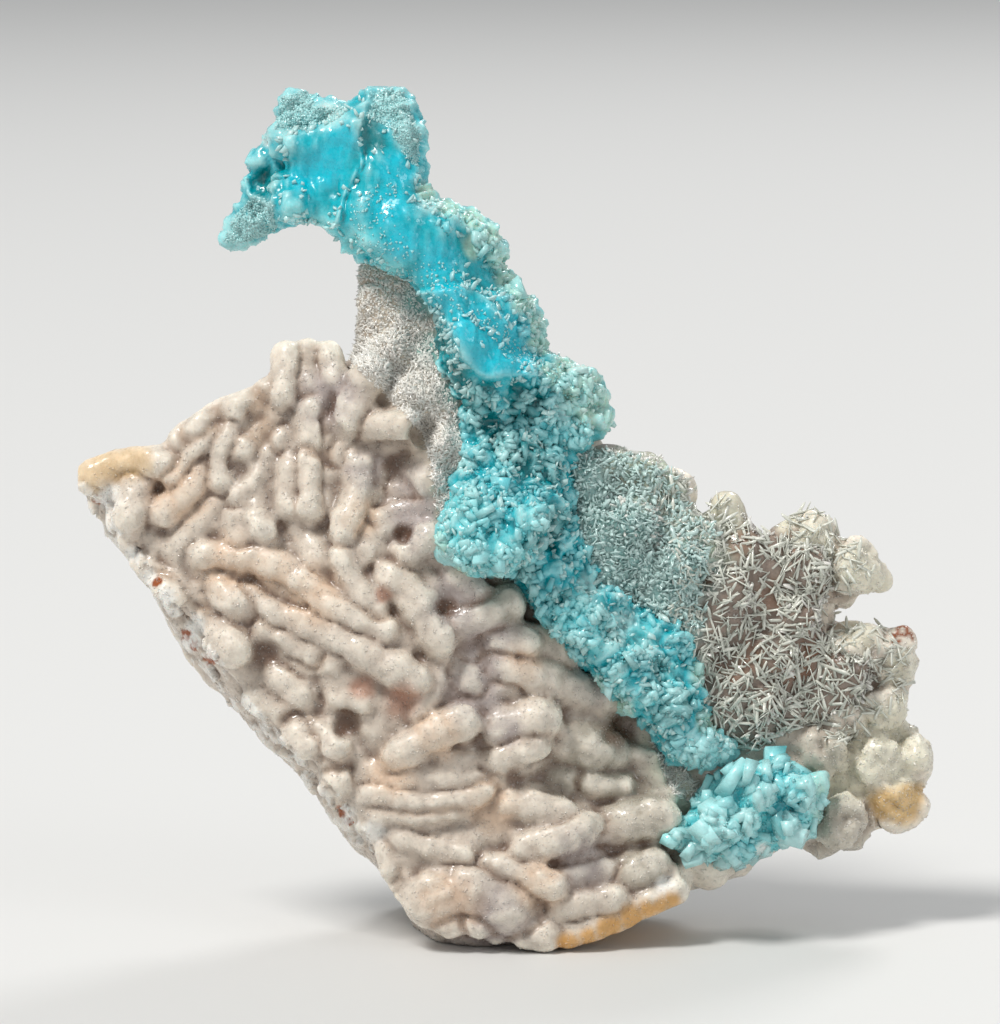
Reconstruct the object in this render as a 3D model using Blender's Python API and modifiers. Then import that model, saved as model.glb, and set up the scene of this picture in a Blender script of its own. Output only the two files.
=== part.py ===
"""Barite specimen standing on its flat foot. Metres, +Z up, the finger side faces -Y.

Milky quartz has grown as a plate of fused fingers with a druse column and knobs. A turquoise crest
runs over it from an overhanging head down to the right, a turquoise cluster sits at the lower right,
and a crust of bladed barite covers the knobs on the right.

Every outline is drawn in millimetres as the front view shows it: u to the right, v up, and y the
depth away from the viewer. stand_up then turns these into the specimen's own upright frame.
"""

import math
import random

import bmesh
import bpy
from mathutils import Matrix, Vector, noise

MM = 0.001
VIEW_TILT = math.radians(8.0)
VIEW_DISTANCE = 900.0
VIEW_CENTRE_U = -1.67
VIEW_CENTRE_V = 71.0
AIM_HEIGHT = 71.7

FUSE_SIZE = 1.0
CRUST_GAP = 0.34
CREASE_GAP = 0.02
SLIVER = 0.0005
SCRAP = 0.004
FLAT_ENOUGH = math.radians(3.0)
BLANK_THICKNESS = 20.0
BLANK_CELL = 1.4
BACK_LUMP_HEIGHT = 2.4
BACK_LUMP_SIZE = 9.0
BUD_SPACING = 3.6
BUD_RADII = (1.1, 1.8)
BUD_SINK = (-0.3, 0.5)
ROUND_END = ((0.9, 0.3), (0.62, 0.76), (0.3, 0.95))
ROOT_BITE = 2.2
CUTTER_SIZE = 400.0

PLATE_SEED = 5
BUD_SEED = 11
CREST_PLACE_SEED = 20
CREST_SHAPE_SEED = 40
CLUSTER_PLACE_SEED = 9
CLUSTER_SHAPE_SEED = 8
BLADE_PLACE_SEED = 3
BLADE_SHAPE_SEED = 4

MATRIX_FACES = 4000
CREST_FACES = 860
CLUSTER_FACES = 160
CRUST_FACES = 440

# The plate's outline, its front and back depths as (u, v, y), and how far the back narrows.

PLATE_OUTLINE = (
    (-71.6, 75.8), (-67, 78.8), (-60, 78.8), (-55, 82), (-50, 87), (-44, 90), (-39.8, 92.5),
    (-38.6, 97), (-31, 98.4), (-26.4, 95.6), (-25.6, 99), (-25.8, 112.5), (-20, 115), (-13, 113),
    (-7, 108), (-2, 103), (3, 96), (9, 91), (14, 85), (18.5, 79.5), (26, 76), (29, 70), (36, 71),
    (41, 66), (48, 68.5), (54, 66), (59, 65), (61, 61), (58, 57.4), (54, 57), (51.4, 54.4),
    (54, 51.6), (63, 51.6), (67, 51), (66.4, 47), (66.6, 42), (65.6, 36), (69.4, 32.6),
    (70.4, 28.5), (67.4, 25), (68.4, 21.5), (60, 19.6), (58.6, 15), (53, 14.4), (48, 16.4),
    (44, 15), (39, 10.6), (31, 8.3), (24, 4.6), (18, 1.2), (13, -0.8), (4, -3.5), (-7, -4.2),
    (-13, -1.8), (-18, 4.8), (-22, 11.2), (-26, 15.3), (-32, 23.5), (-39, 30.7), (-45, 37),
    (-53, 47), (-60, 57.8), (-66, 65.6), (-71, 73.4),
)
PLATE_FRONT = (
    (-70, 75, -3), (-60, 65, -6), (-50, 80, -7), (-52, 58, -8), (-40, 92, -7), (-38, 70, -10),
    (-36, 98, -5), (-40, 45, -10), (-28, 86, -9), (-25, 60, -13), (-28, 30, -11), (-20, 45, -14),
    (-18, 79, -8), (-12, 60, -13), (-5, 45, -12), (-15, 25, -13), (-20, 12, -11), (-8, 5, -12),
    (0, 35, -12), (5, 15, -12), (8, 0, -12), (10, 30, -8), (20, 30, -4), (24, 20, -7), (20, 6, -10),
    (30, 8, -9), (-22, 110, -9), (-20, 100, -11), (-15, 88, -14), (-10, 78, -15), (0, 90, -11),
    (0, 70, -12), (10, 60, -8), (20, 45, -4), (15, 78, -7), (28, 70, -4), (35, 35, 0), (30, 20, -4),
    (45, 55, -1), (45, 25, -2), (55, 62, 0), (58, 40, 2), (65, 45, 3), (66, 25, 3), (55, 18, 1),
)
PLATE_BACK = (
    (-70, 75, 5), (-50, 80, 9), (-40, 92, 9), (-30, 97, 8), (-50, 55, 11), (-30, 60, 16),
    (-40, 40, 13), (-25, 25, 17), (0, 50, 21), (-10, 3, 25), (10, 0, 25), (0, 80, 16),
    (-20, 108, 3), (-8, 105, 6), (10, 90, 10), (25, 72, 13), (40, 60, 15), (60, 60, 11),
    (66, 45, 12), (66, 25, 13), (45, 20, 17), (25, 10, 21), (30, 45, 19),
)
PLATE_MIDDLE = (-3.0, 18.0)
PLATE_NARROWING = 0.1
RIM_LEVEL = 0.52
PLATE_ROUNDING = 5.0
CREST_ROUNDING = 4.0
FIN_ROUNDING = 1.5
CLUSTER_ROUNDING = 4.0
CRUST_ROUNDING = 3.0

# One finger a line: radius, lift above the plate in radii, and its path from root to tip.

FINGERS = (
    (2.3, 0.7, (-70, 76.5), (-65.4, 78.6), (-58.5, 79.3)),
    (2.7, 0.6, (-62.5, 75), (-63, 70.5)),
    (1.9, 0.5, (-62.4, 67.6), (-63.2, 66.4)),
    (1.7, 0.6, (-49.6, 84.9), (-53, 81), (-56.2, 76.9)),
    (2.1, 1.0, (-52, 77.2), (-53.4, 74.7), (-57.8, 70.8)),
    (2.1, 0.5, (-49.6, 71.8), (-51.8, 68.8), (-56, 64.4)),
    (1.8, 0.5, (-47, 84), (-48.7, 78.8), (-48.4, 76.3)),
    (2.0, 1.0, (-41, 85.5), (-44.5, 81)),
    (1.4, 0.5, (-38.2, 84), (-38.4, 82.8)),
    (1.5, 0.5, (-40.5, 80.5), (-42.6, 76.1), (-45.3, 73.5)),
    (1.8, 1.0, (-46, 69.5), (-44.8, 66)),
    (1.7, 1.0, (-42, 70.2), (-41, 68)),
    (1.8, 1.0, (-36.7, 79), (-37.3, 71.8)),
    (2.0, 0.3, (-53.2, 84.2), (-55, 82.6)),
    (1.9, 0.4, (-50.5, 86), (-52.6, 84.6)),
    (2.0, 0.4, (-46.5, 88.2), (-49, 87)),
    (2.0, 0.4, (-43, 89.4), (-45.6, 88.4)),
    (1.9, 0.4, (-40.6, 91), (-42.6, 89)),
    (2.0, 0.6, (-38.5, 88), (-42, 84)),
    (2.0, 0.6, (-37.2, 97.4), (-37.8, 90.5)),
    (2.1, 0.6, (-33.8, 97.6), (-33.8, 92)),
    (1.9, 0.2, (-30.3, 97.4), (-29, 93)),
    (1.8, 0.5, (-33.3, 88), (-33, 82)),
    (1.9, 0.4, (-31, 85), (-30.8, 72)),
    (2.0, 0.8, (-33.5, 79.5), (-33.3, 71.5)),
    (1.6, 0.5, (-26, 86), (-29, 80.5)),
    (2.4, 1.1, (-23.3, 94.6), (-26.6, 86.8)),
    (2.0, 1.1, (-23.5, 85.6), (-17.2, 85.4)),
    (1.6, 0.6, (-24.5, 82.8), (-17.5, 82)),
    (2.1, 1.0, (-25.3, 79), (-25.7, 73), (-27.5, 68.2)),
    (1.3, 0.5, (-22, 77.6), (-22.2, 73.4)),
    (2.4, 0.5, (-15.4, 78.6), (-13.8, 76.6)),
    (1.4, 0.5, (-18.5, 74.6), (-15.2, 74.6)),
    (1.9, 0.3, (-23.3, 69.6), (-14.7, 71.5)),
    (1.6, 0.5, (-24.4, 68.4), (-23.6, 63.6)),
    (2.4, 0.5, (-17, 64), (-13.3, 67)),
    (2.2, 0.5, (-33.4, 67.2), (-32.1, 63.3)),
    (1.8, 0.9, (-28, 63.5), (-26.2, 59.4), (-22.3, 54.2)),
    (2.5, 1.2, (-19.6, 60.3), (-16.2, 57), (-14.3, 54.4), (-11.8, 49.8)),
    (2.6, 0.2, (-8.8, 60.5), (-6.4, 57.6)),
    (2.5, 0.3, (-8.9, 51.9), (-5, 53.4), (-0.6, 55.4)),
    (1.6, 0.3, (-8.5, 47), (-4, 48)),
    (2.1, 0.9, (-2, 49.5), (2.5, 49)),
    (1.9, 0.2, (4.5, 50), (9, 47)),
    (2.8, 0.5, (-1, 45.5), (3, 44), (7.8, 42.1), (15.5, 39.8)),
    (2.0, 0.7, (-51, 63.8), (-43.4, 63.3), (-38.4, 61.7), (-34.8, 59.4), (-28.4, 54.6), (-21, 51.2)),
    (1.6, 0.6, (-49.8, 61.6), (-42.9, 58.8), (-37.9, 58), (-31, 54.2)),
    (2.3, 1.1, (-42.9, 56.9), (-39, 53.8), (-34.6, 52.8), (-27.6, 49.4), (-19.6, 45), (-16.2, 43.4)),
    (1.9, 0.5, (-41, 51.5), (-37, 49.4), (-32.5, 47)),
    (1.9, 1.0, (-36.3, 45.1), (-29.5, 45.8)),
    (2.4, 0.9, (-47.9, 57.7), (-45.6, 55.6)),
    (1.6, 0.2, (-52.6, 57.6), (-51, 56)),
    (2.2, 0.5, (-59.6, 62), (-57.8, 60)),
    (2.0, 0.4, (-57.6, 58.8), (-56, 57)),
    (2.0, 0.5, (-50.4, 54.4), (-48.8, 52.4)),
    (1.9, 0.6, (-46.8, 53), (-45.4, 51.2)),
    (2.7, 0.8, (-48, 50), (-46, 48)),
    (2.1, 0.5, (-42.3, 40.3), (-38.4, 37.2)),
    (2.1, 0.3, (-38.6, 43.3), (-34.3, 40.2)),
    (2.2, 0.9, (-35.6, 34.4), (-34, 32.4)),
    (1.8, 0.5, (-33, 36.6), (-31.6, 35)),
    (2.1, 0.9, (-30.6, 33.8), (-29, 32)),
    (2.2, 0.9, (-28.6, 28.3), (-28.9, 26)),
    (1.8, 0.5, (-30.6, 30.6), (-29.4, 29)),
    (1.8, 0.3, (-29, 40), (-24.6, 39.2)),
    (1.9, 0.9, (-23.6, 36.4), (-21.8, 34.4)),
    (1.4, 0.9, (-11.3, 46.2), (-12.6, 42), (-15.3, 37.5)),
    (2.1, 0.9, (-8.6, 44.2), (-6.8, 43)),
    (1.6, 0.3, (-8.5, 40.7), (0, 41.6)),
    (2.5, 1.1, (-18.3, 30.6), (-12.6, 34.2), (-7.8, 36)),
    (2.8, 0.8, (-2, 35), (5, 36.6)),
    (2.1, 0.9, (-2, 29.5), (4.2, 32.3)),
    (2.8, 0.3, (9, 32.6), (16.7, 30.8)),
    (1.9, 0.5, (7.6, 27), (9.6, 26.2)),
    (1.7, 0.9, (13.5, 25.7), (19, 25.2)),
    (2.1, 0.6, (-24.5, 27.2), (-12.8, 26.6), (-3.5, 26.5)),
    (1.8, 0.7, (-23, 24), (-15, 22.3), (-7.5, 23.3), (-4.5, 25)),
    (1.4, 0.7, (-22, 20.6), (-14.4, 20.5), (-10, 21.3)),
    (2.3, 1.0, (-0.2, 22.3), (8, 20.9)),
    (2.1, 0.9, (2.8, 15), (8.3, 16.3), (13, 18.6)),
    (2.8, 0.9, (16.7, 18.6), (24.5, 20)),
    (1.4, 0.3, (-14, 18.2), (-3.3, 16.9)),
    (1.7, 0.8, (-18.5, 16.7), (-13.3, 14.9), (-7.4, 13.8)),
    (1.3, 0.5, (-23.4, 19), (-22, 17.4)),
    (1.5, 0.5, (-20.8, 14.8), (-20.2, 11.4)),
    (1.2, 0.5, (-19.2, 9.6), (-17.8, 7.4)),
    (1.5, 0.5, (-17.2, 11), (-13.4, 9.6)),
    (2.1, 0.9, (-3.3, 11.9), (2, 10.4), (6.9, 8.8)),
    (4.0, 0.3, (-13, 6.5), (-6.4, 8), (-0.5, 5)),
    (1.9, 0.9, (-11.6, 3.4), (-9.8, 2.2)),
    (1.8, 0.9, (-7.2, 2.8), (-5, 1.8)),
    (1.9, 0.9, (-2.4, 2.4), (1.4, 3.8)),
    (2.0, 0.5, (2.6, 0.4), (6, 0.2)),
    (2.1, 1.0, (9, 5), (17.2, 6.5)),
    (2.4, 0.7, (20.6, 10.8), (24, 12.4)),
    (1.7, 0.2, (9, 10), (16, 11.6)),
    (1.5, 0.2, (8.9, 13), (15, 13.5)),
    (1.8, 0.3, (9.5, 0.3), (16.7, 2.8), (21.7, 5.3), (27.8, 7.8)),
)

FINGER_STAND = 0.9
FINGER_FIELD = (
    (-68, 75), (-60, 78), (-52, 83), (-40, 89), (-36, 95), (-29, 94), (-25, 92), (-17, 86), (-13, 80),
    (-12, 64), (-2, 58), (6, 48), (16, 38), (21, 32), (26, 20), (26, 10), (16, 4), (6, 1), (-6, 0),
    (-14, 5), (-22, 15), (-34, 30), (-48, 46), (-60, 62), (-67, 72),
)

# Round knobs of quartz and druse, as (u, v, depth of the middle, radius).

KNOBS = (
    (57.5, 62, 1, 4.6), (61.3, 60, 3, 2.2), (50, 66, 2, 5.2), (57, 47, 3, 5.4), (62, 46, 4, 4.6),
    (65, 44.5, 4, 3.0), (65, 49.4, 3, 1.9), (62, 39.5, 4, 4.6), (55, 38, 3, 4.5), (52, 31, 0, 4.4),
    (61, 30, 2, 4.2),
    (67.3, 30.2, 4, 3.6), (63.5, 24.5, 3, 3.8), (65, 22, 5, 3.4), (55, 19.5, 0, 4.6),
    (36, 69, 2, 3.6), (45, 64, 1, 4.6), (27, 74, 0, 4.4), (20, 77, -2, 4.2), (49.8, 54, 4, 3.4),
    (-22, 106, -7, 3.6), (-20, 98, -9, 4.0), (-16.5, 90, -11, 4.2), (-13, 82, -13, 4.0),
    (42, 18, 2, 4.4), (33, 11.5, -3, 3.6), (27, 9, -6, 3.2), (48, 20.6, 2, 4.2), (46, 27, 1, 4.6),
)

# Hollows in the plate, as (u, v, depth of the middle, radius).

PITS = (
    (-14.2, 84.4, -14, 2.6), (-19.6, 79, -14, 2.4), (-10.4, 55.4, -18, 2.0), (-27.2, 35.8, -16, 2.6),
    (-40.5, 47.2, -15, 2.6), (-18, 67.4, -16, 1.8), (1.1, 26.6, -16, 1.9), (18, 34.6, -12, 3.0),
    (42, 33, -5, 3.0), (36.5, 48, -5, 2.2), (48.6, 43.6, -3, 2.2),
)

# The turquoise crest.

CREST_OUTLINE = (
    (-37.3, 128.6), (-39, 124.5), (-39.6, 121.6), (-38.6, 119.6), (-36.5, 119.2), (-33.5, 119.6),
    (-29, 117), (-24.5, 113.2), (-17, 110), (-12.5, 104), (-10.5, 95), (-8, 88), (-7.4, 82),
    (-9, 75), (-11.6, 69), (-11.5, 64), (-8, 62), (-3, 60.7), (1.5, 62), (3.5, 56), (7, 51.5),
    (12, 46), (17, 40.3), (23, 36), (27, 30), (33, 28.4), (37, 30.8), (37, 32.4), (33.2, 36),
    (32, 40), (31.5, 45), (30, 50), (26.5, 54), (20, 55.8), (15.5, 60.5), (11, 68.5), (9, 75),
    (10, 80), (13, 82.5), (16.4, 86), (15.3, 90.5), (13, 94.3), (8, 96.6), (5, 98.5), (5, 101.5),
    (3.5, 105.4), (0.3, 109), (-1.5, 112), (-1, 115), (-3.5, 118.3), (-7, 121), (-11, 122),
    (-15, 125), (-15.2, 129), (-14.6, 134), (-16.5, 138), (-18.3, 141), (-22.6, 142),
    (-25.6, 139.8), (-28.4, 137.4), (-32.2, 135.6), (-38.8, 134.4), (-38.6, 131.5),
)
CREST_FRONT = (
    (-37, 121, -15), (-38, 133, -12), (-33, 128, -9.5), (-31, 124, -11), (-34, 132, -10.5),
    (-30, 135, -12), (-28, 129, -12), (-26, 121, -16), (-25, 134, -14), (-22, 139, -10),
    (-18, 132, -13), (-23, 127, -15), (-19, 117, -17), (-12, 116, -17), (-6, 117, -13),
    (-2, 111, -11), (-12, 106, -19), (-8, 99, -21), (-2, 104, -17), (3, 100, -12), (-3, 93, -20),
    (3, 92, -16), (10, 93, -11), (14, 88, -9), (0, 86, -15), (9, 83, -11), (-3, 79, -17),
    (-8, 71, -22), (-4, 64, -23), (2, 69, -22), (6, 77, -15), (5, 60, -17), (8, 66, -15),
    (10, 52, -17), (14, 62, -12), (17, 46, -16), (23, 53, -11), (24, 38, -14), (29, 46, -10),
    (31, 32, -11), (35, 35, -7),
)
CREST_BACK = (
    (-37, 124, -6), (-36, 132, -5), (-30, 134, -4), (-20, 138, -3), (-28, 120, -6), (-18, 125, -2),
    (-8, 116, -1), (0, 106, 1), (5, 97, 3), (14, 90, 3), (-15, 112, -5), (0, 80, -6),
    (-5, 65, -9), (10, 60, 0), (20, 48, 3), (33, 33, 6), (12, 82, 1),
)

# The thin fins that stand behind the head, from its lower left tip round to its top.

FIN_OUTLINE = (
    (-47.8, 116.2), (-46.5, 119.5), (-44.3, 123.5), (-43.2, 127), (-43, 130.5), (-40.5, 133),
    (-38.8, 135.2), (-38.6, 137.5), (-37, 140.2), (-34.5, 141.3), (-32.5, 139), (-30, 138.9),
    (-27.5, 138), (-25, 136), (-27, 128), (-31, 121), (-36, 118.6), (-41, 117.9), (-44.6, 115.9),
)
FIN_FRONT = (
    (-47, 117, -4), (-44, 121, -5.5), (-41, 129, -6.5), (-38, 122, -8.5), (-36, 139, -5.5),
    (-34, 135, -8), (-29, 137.5, -7.5), (-30, 128, -9),
)
FIN_BACK = ((-46, 118, -1.5), (-41, 128, -2), (-35, 138, -2.5), (-28, 136, -3), (-33, 124, -3))

# Fields of stout crystals on the crest: outline, spacing, length, width and how widely they lean.

CREST_CRYSTALS = (
    (((-6, 79), (-8, 86), (-7, 92), (2, 91), (8, 92), (9, 84), (7, 77)), 4.6, 2.6, 3.4, 1.0),
    (((4, 84), (5, 97), (12, 95), (16, 90), (17, 86), (12, 82)), 4.6, 2.4, 3.4, 0.9),
    (((-12, 66), (-10, 75), (6, 76), (5, 68), (1, 62), (-6, 61)), 4.8, 2.4, 3.6, 0.9),
    (((4, 57), (11, 62), (20, 54), (29, 49), (31, 40), (33, 32), (26, 33), (15, 44)), 4.9, 2.6, 3.4, 1.1),
    (((-15, 124), (-7, 120), (-1, 115), (1, 108), (6, 102), (3, 99), (-6, 111)), 5.0, 2.0, 2.8, 0.9),
    (((-24, 138), (-20, 141), (-17, 139), (-15, 133), (-19, 134)), 4.0, 1.8, 2.6, 0.6),
)

# The turquoise cluster at the lower right.

CLUSTER_OUTLINE = (
    (24.4, 17), (27, 19.2), (30, 20.5), (31, 24), (34, 26.4), (38, 28), (42, 29.4), (46, 30),
    (49.5, 27.6), (51.5, 25), (52.4, 21), (50.5, 18), (46, 15.4), (41, 13.2), (36, 11.8),
    (32, 12.2), (28, 14), (25.4, 15.6),
)
CLUSTER_FRONT = (
    (25, 17, -9), (30, 17, -12), (35, 19, -14), (41, 24, -13), (48, 26, -9), (50, 21, -8),
    (44, 17, -10), (36, 13, -10), (32, 23, -9),
)
CLUSTER_BACK = ((28, 16, 0), (40, 20, 3), (50, 24, 4))

# The crust that carries the barite blades, and the knobs that swell it.

CRUST_OUTLINE = (
    (7.6, 79), (13, 81.3), (18.3, 81.8), (20, 80.8), (23.7, 80.6), (27, 77.7), (29.8, 76.2),
    (30, 71.8), (31.8, 70), (34, 71.2), (36.5, 73.2), (38.5, 71.5), (40.5, 68.5), (42.3, 66.8),
    (45, 68.2), (48, 70.2), (50, 70.6), (52.5, 69.5), (54, 66), (54, 61), (52.6, 57), (51, 54),
    (52.4, 50.5), (57, 49.5), (60, 46), (59.5, 41), (56, 37), (50, 35), (44, 33), (38, 31.6),
    (34, 32), (31, 36), (29, 43), (27.4, 48), (23.4, 51.4), (17.6, 53.2), (12, 60), (8, 69),
)
CRUST_FRONT = (
    (12, 78, -9), (20, 75, -8), (28, 74, -5), (16, 66, -11), (24, 60, -9), (30, 66, -7),
    (36, 71, -3), (33, 53, -7), (40, 62, -5), (48, 68, -2), (38, 44, -5), (44, 52, -4),
    (52, 62, -3), (50, 40, -2), (58, 46, -2), (44, 37, -3),
)
CRUST_BACK = ((15, 75, 2), (30, 60, 4), (50, 60, 6), (45, 40, 6), (58, 45, 7))
CRUST_KNOBS = (
    (49, 61, -1, 4.4), (42.5, 39.8, -2, 3.6), (55.5, 44, 0, 4.4), (44, 48, -2, 4.0),
    (36, 58, -4, 4.2), (28, 63, -6, 4.2), (20, 69, -8, 4.0), (36, 71.4, -1, 2.2), (47, 53, -2, 3.4),
)


COVERED = (CREST_OUTLINE, CLUSTER_OUTLINE, CRUST_OUTLINE)

BLADE_SPACING = 4.9
BLADE_LENGTH = 3.4
BLADE_WIDTH = 1.5
BLADE_THICKNESS = 0.6
BLADE_SPREAD = 2.2

CHIP_SPACING = 5.0
CHIP_LENGTH = 2.6
CHIP_WIDTH = 2.8
CHIP_THICKNESS = 1.7
CHIP_SPREAD = 0.9

# Colour, roughness and see-through share of each finished piece.

QUARTZ_FINISH = ((0.62, 0.56, 0.5), 0.4, 0.0)
TURQUOISE_FINISH = ((0.05, 0.5, 0.6), 0.3, 0.0)
PALE_TURQUOISE_FINISH = ((0.25, 0.65, 0.7), 0.3, 0.0)
BARITE_FINISH = ((0.7, 0.68, 0.62), 0.35, 0.0)


def shepard(u, v, controls):
    """Depth at (u, v), blended smoothly from the nearby (u, v, y) controls."""
    total = 0.0
    weighted = 0.0
    for cu, cv, cy in controls:
        weight = 1.0 / ((u - cu) ** 2 + (v - cv) ** 2 + 6.0) ** 2
        total += weight
        weighted += weight * cy
    return weighted / total


def stand_up(u, y, v):
    """A front-view place to millimetres in the specimen's own upright frame."""
    across = u - VIEW_CENTRE_U
    up = v - VIEW_CENTRE_V
    cos_tilt = math.cos(VIEW_TILT)
    sin_tilt = math.sin(VIEW_TILT)
    height = (up * (1 + y * cos_tilt / VIEW_DISTANCE) - y * sin_tilt) / (
        cos_tilt + up * sin_tilt / VIEW_DISTANCE
    )
    depth = VIEW_DISTANCE + y * cos_tilt - height * sin_tilt
    x = VIEW_CENTRE_U + across * depth / VIEW_DISTANCE
    return Vector((x, y, AIM_HEIGHT + height))


def clear_scene():
    for obj in list(bpy.data.objects):
        bpy.data.objects.remove(obj, do_unlink=True)


def make_collection(name):
    group = bpy.data.collections.new(name)
    bpy.context.scene.collection.children.link(group)
    return group


def apply_modifiers(obj):
    graph = bpy.context.evaluated_depsgraph_get()
    mesh = bpy.data.meshes.new_from_object(obj.evaluated_get(graph))
    obj.modifiers.clear()
    obj.data = mesh


def mesh_object(name, data, group):
    obj = bpy.data.objects.new(name, data)
    group.objects.link(obj)
    return obj


def curve_to_mesh(name, curve, group):
    """A curve's solid as a mesh object, with its caps welded on."""
    source = mesh_object(name, curve, group)
    graph = bpy.context.evaluated_depsgraph_get()
    mesh = bpy.data.meshes.new_from_object(source.evaluated_get(graph))
    bpy.data.objects.remove(source, do_unlink=True)
    bm = bmesh.new()
    bm.from_mesh(mesh)
    bmesh.ops.remove_doubles(bm, verts=bm.verts, dist=1e-4)
    bm.to_mesh(mesh)
    bm.free()
    return mesh_object(name, mesh, group)


def fuse(obj, size):
    remesh = obj.modifiers.new("fuse", "REMESH")
    remesh.mode = "VOXEL"
    remesh.voxel_size = size
    remesh.use_smooth_shade = False
    apply_modifiers(obj)


def thin_out(obj, faces, front_share=0.0):
    """Flat facets instead of a fine skin, about the given number.

    With a front share they are denser towards the viewer, except where a crust covers them.
    """
    if front_share:
        detail = obj.vertex_groups.new(name="detail")
        for vert in obj.data.vertices:
            toward = min(1.0, max(0.0, 0.5 - vert.normal.y))
            if any(inside(vert.co.x, vert.co.z, outline) for outline in COVERED):
                toward = 0.0
            detail.add([vert.index], 1.0 - 0.9 * toward, "REPLACE")
    decimate = obj.modifiers.new("facets", "DECIMATE")
    decimate.decimate_type = "COLLAPSE"
    decimate.use_collapse_triangulate = True
    if front_share:
        decimate.vertex_group = "detail"
        decimate.vertex_group_factor = front_share
    decimate.ratio = min(1.0, faces / sum(len(p.vertices) - 2 for p in obj.data.polygons))
    apply_modifiers(obj)


def join_into(target, *others):
    """Adds the other objects' meshes to the target as loose shells, and removes them."""
    bm = bmesh.new()
    bm.from_mesh(target.data)
    for other in others:
        bm.from_mesh(other.data)
        bpy.data.objects.remove(other, do_unlink=True)
    bm.to_mesh(target.data)
    bm.free()


def boolean(obj, cutter, operation):
    step = obj.modifiers.new(operation.lower(), "BOOLEAN")
    step.operation = operation
    step.solver = "EXACT"
    step.use_self = True
    step.object = cutter
    apply_modifiers(obj)


def merge_flats(obj):
    """Joins the scraps that the unions leave within one flat crystal face."""
    bm = bmesh.new()
    bm.from_mesh(obj.data)
    bmesh.ops.remove_doubles(bm, verts=bm.verts, dist=SCRAP)
    bmesh.ops.dissolve_limit(
        bm, angle_limit=FLAT_ENOUGH, verts=bm.verts, edges=bm.edges, use_dissolve_boundaries=False
    )
    bmesh.ops.triangulate(bm, faces=bm.faces)
    bm.to_mesh(obj.data)
    bm.free()


def keep_largest_body(obj):
    """Drops slivers and every shell but the biggest."""
    bm = bmesh.new()
    bm.from_mesh(obj.data)
    bmesh.ops.triangulate(bm, faces=bm.faces)
    bmesh.ops.remove_doubles(bm, verts=bm.verts, dist=SLIVER)
    bmesh.ops.dissolve_degenerate(bm, edges=bm.edges, dist=SLIVER)
    bmesh.ops.triangulate(bm, faces=bm.faces)
    left = set(bm.verts)
    shells = []
    while left:
        stack = [left.pop()]
        shell = set(stack)
        while stack:
            for edge in stack.pop().link_edges:
                for vert in edge.verts:
                    if vert in left:
                        left.discard(vert)
                        shell.add(vert)
                        stack.append(vert)
        shells.append(shell)
    shells.sort(key=len)
    drop = [vert for shell in shells[:-1] for vert in shell]
    bmesh.ops.delete(bm, geom=drop, context="VERTS")
    bmesh.ops.recalc_face_normals(bm, faces=bm.faces)
    bm.to_mesh(obj.data)
    bm.free()


def edge_distance(u, v, outline):
    """How far (u, v) lies from the nearest stretch of the outline."""
    nearest = 1e9
    for (u1, v1), (u2, v2) in zip(outline, outline[1:] + outline[:1]):
        du = u2 - u1
        dv = v2 - v1
        t = max(0.0, min(1.0, ((u - u1) * du + (v - v1) * dv) / (du * du + dv * dv)))
        nearest = min(nearest, (u - u1 - t * du) ** 2 + (v - v1 - t * dv) ** 2)
    return math.sqrt(nearest)


def slab(name, outline, front, back, group, rounding, narrowing=0.0, middle=(0.0, 0.0)):
    """A solid with the drawn outline, whose faces follow the front and back depths.

    Near its edge both faces bend together over the rounding, so that it has no square rim.
    """
    curve = bpy.data.curves.new(name, "CURVE")
    curve.dimensions = "2D"
    curve.fill_mode = "BOTH"
    curve.extrude = BLANK_THICKNESS / 2
    spline = curve.splines.new("POLY")
    spline.points.add(len(outline) - 1)
    for point, (u, v) in zip(spline.points, outline):
        point.co = (u, v, 0.0, 1.0)
    spline.use_cyclic_u = True
    obj = curve_to_mesh(name, curve, group)
    fuse(obj, BLANK_CELL)
    for vert in obj.data.vertices:
        u, v, level = vert.co
        share = 0.5 - level / BLANK_THICKNESS
        y_front = shepard(u, v, front)
        y_back = shepard(u, v, back)
        rim = max(0.0, 1.0 - edge_distance(u, v, outline) / rounding)
        bend = 1.0 - math.sqrt(1.0 - 0.96 * rim * rim)
        y_middle = y_front + RIM_LEVEL * (y_back - y_front)
        y_front += bend * (y_middle - y_front)
        y_back += bend * (y_middle - y_back)
        shrink = 1.0 - narrowing * max(0.0, share) ** 1.5
        vert.co = (
            middle[0] + (u - middle[0]) * shrink,
            y_front + share * (y_back - y_front),
            middle[1] + (v - middle[1]) * shrink,
        )
    return obj


def smooth_path(points, step):
    """Points about a step apart along a smooth curve through the given ones."""
    points = [Vector(p) for p in points]
    ends = [2 * points[0] - points[1], *points, 2 * points[-1] - points[-2]]
    path = []
    for a, b, c, d in zip(ends, ends[1:], ends[2:], ends[3:]):
        count = max(1, round((c - b).length / step))
        for i in range(count):
            t = i / count
            path.append(0.5 * (2 * b + (c - a) * t + (2 * a - 5 * b + 4 * c - d) * t * t
                               + (3 * b - a - 3 * c + d) * t ** 3))
    path.append(points[-1])
    return path


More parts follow.
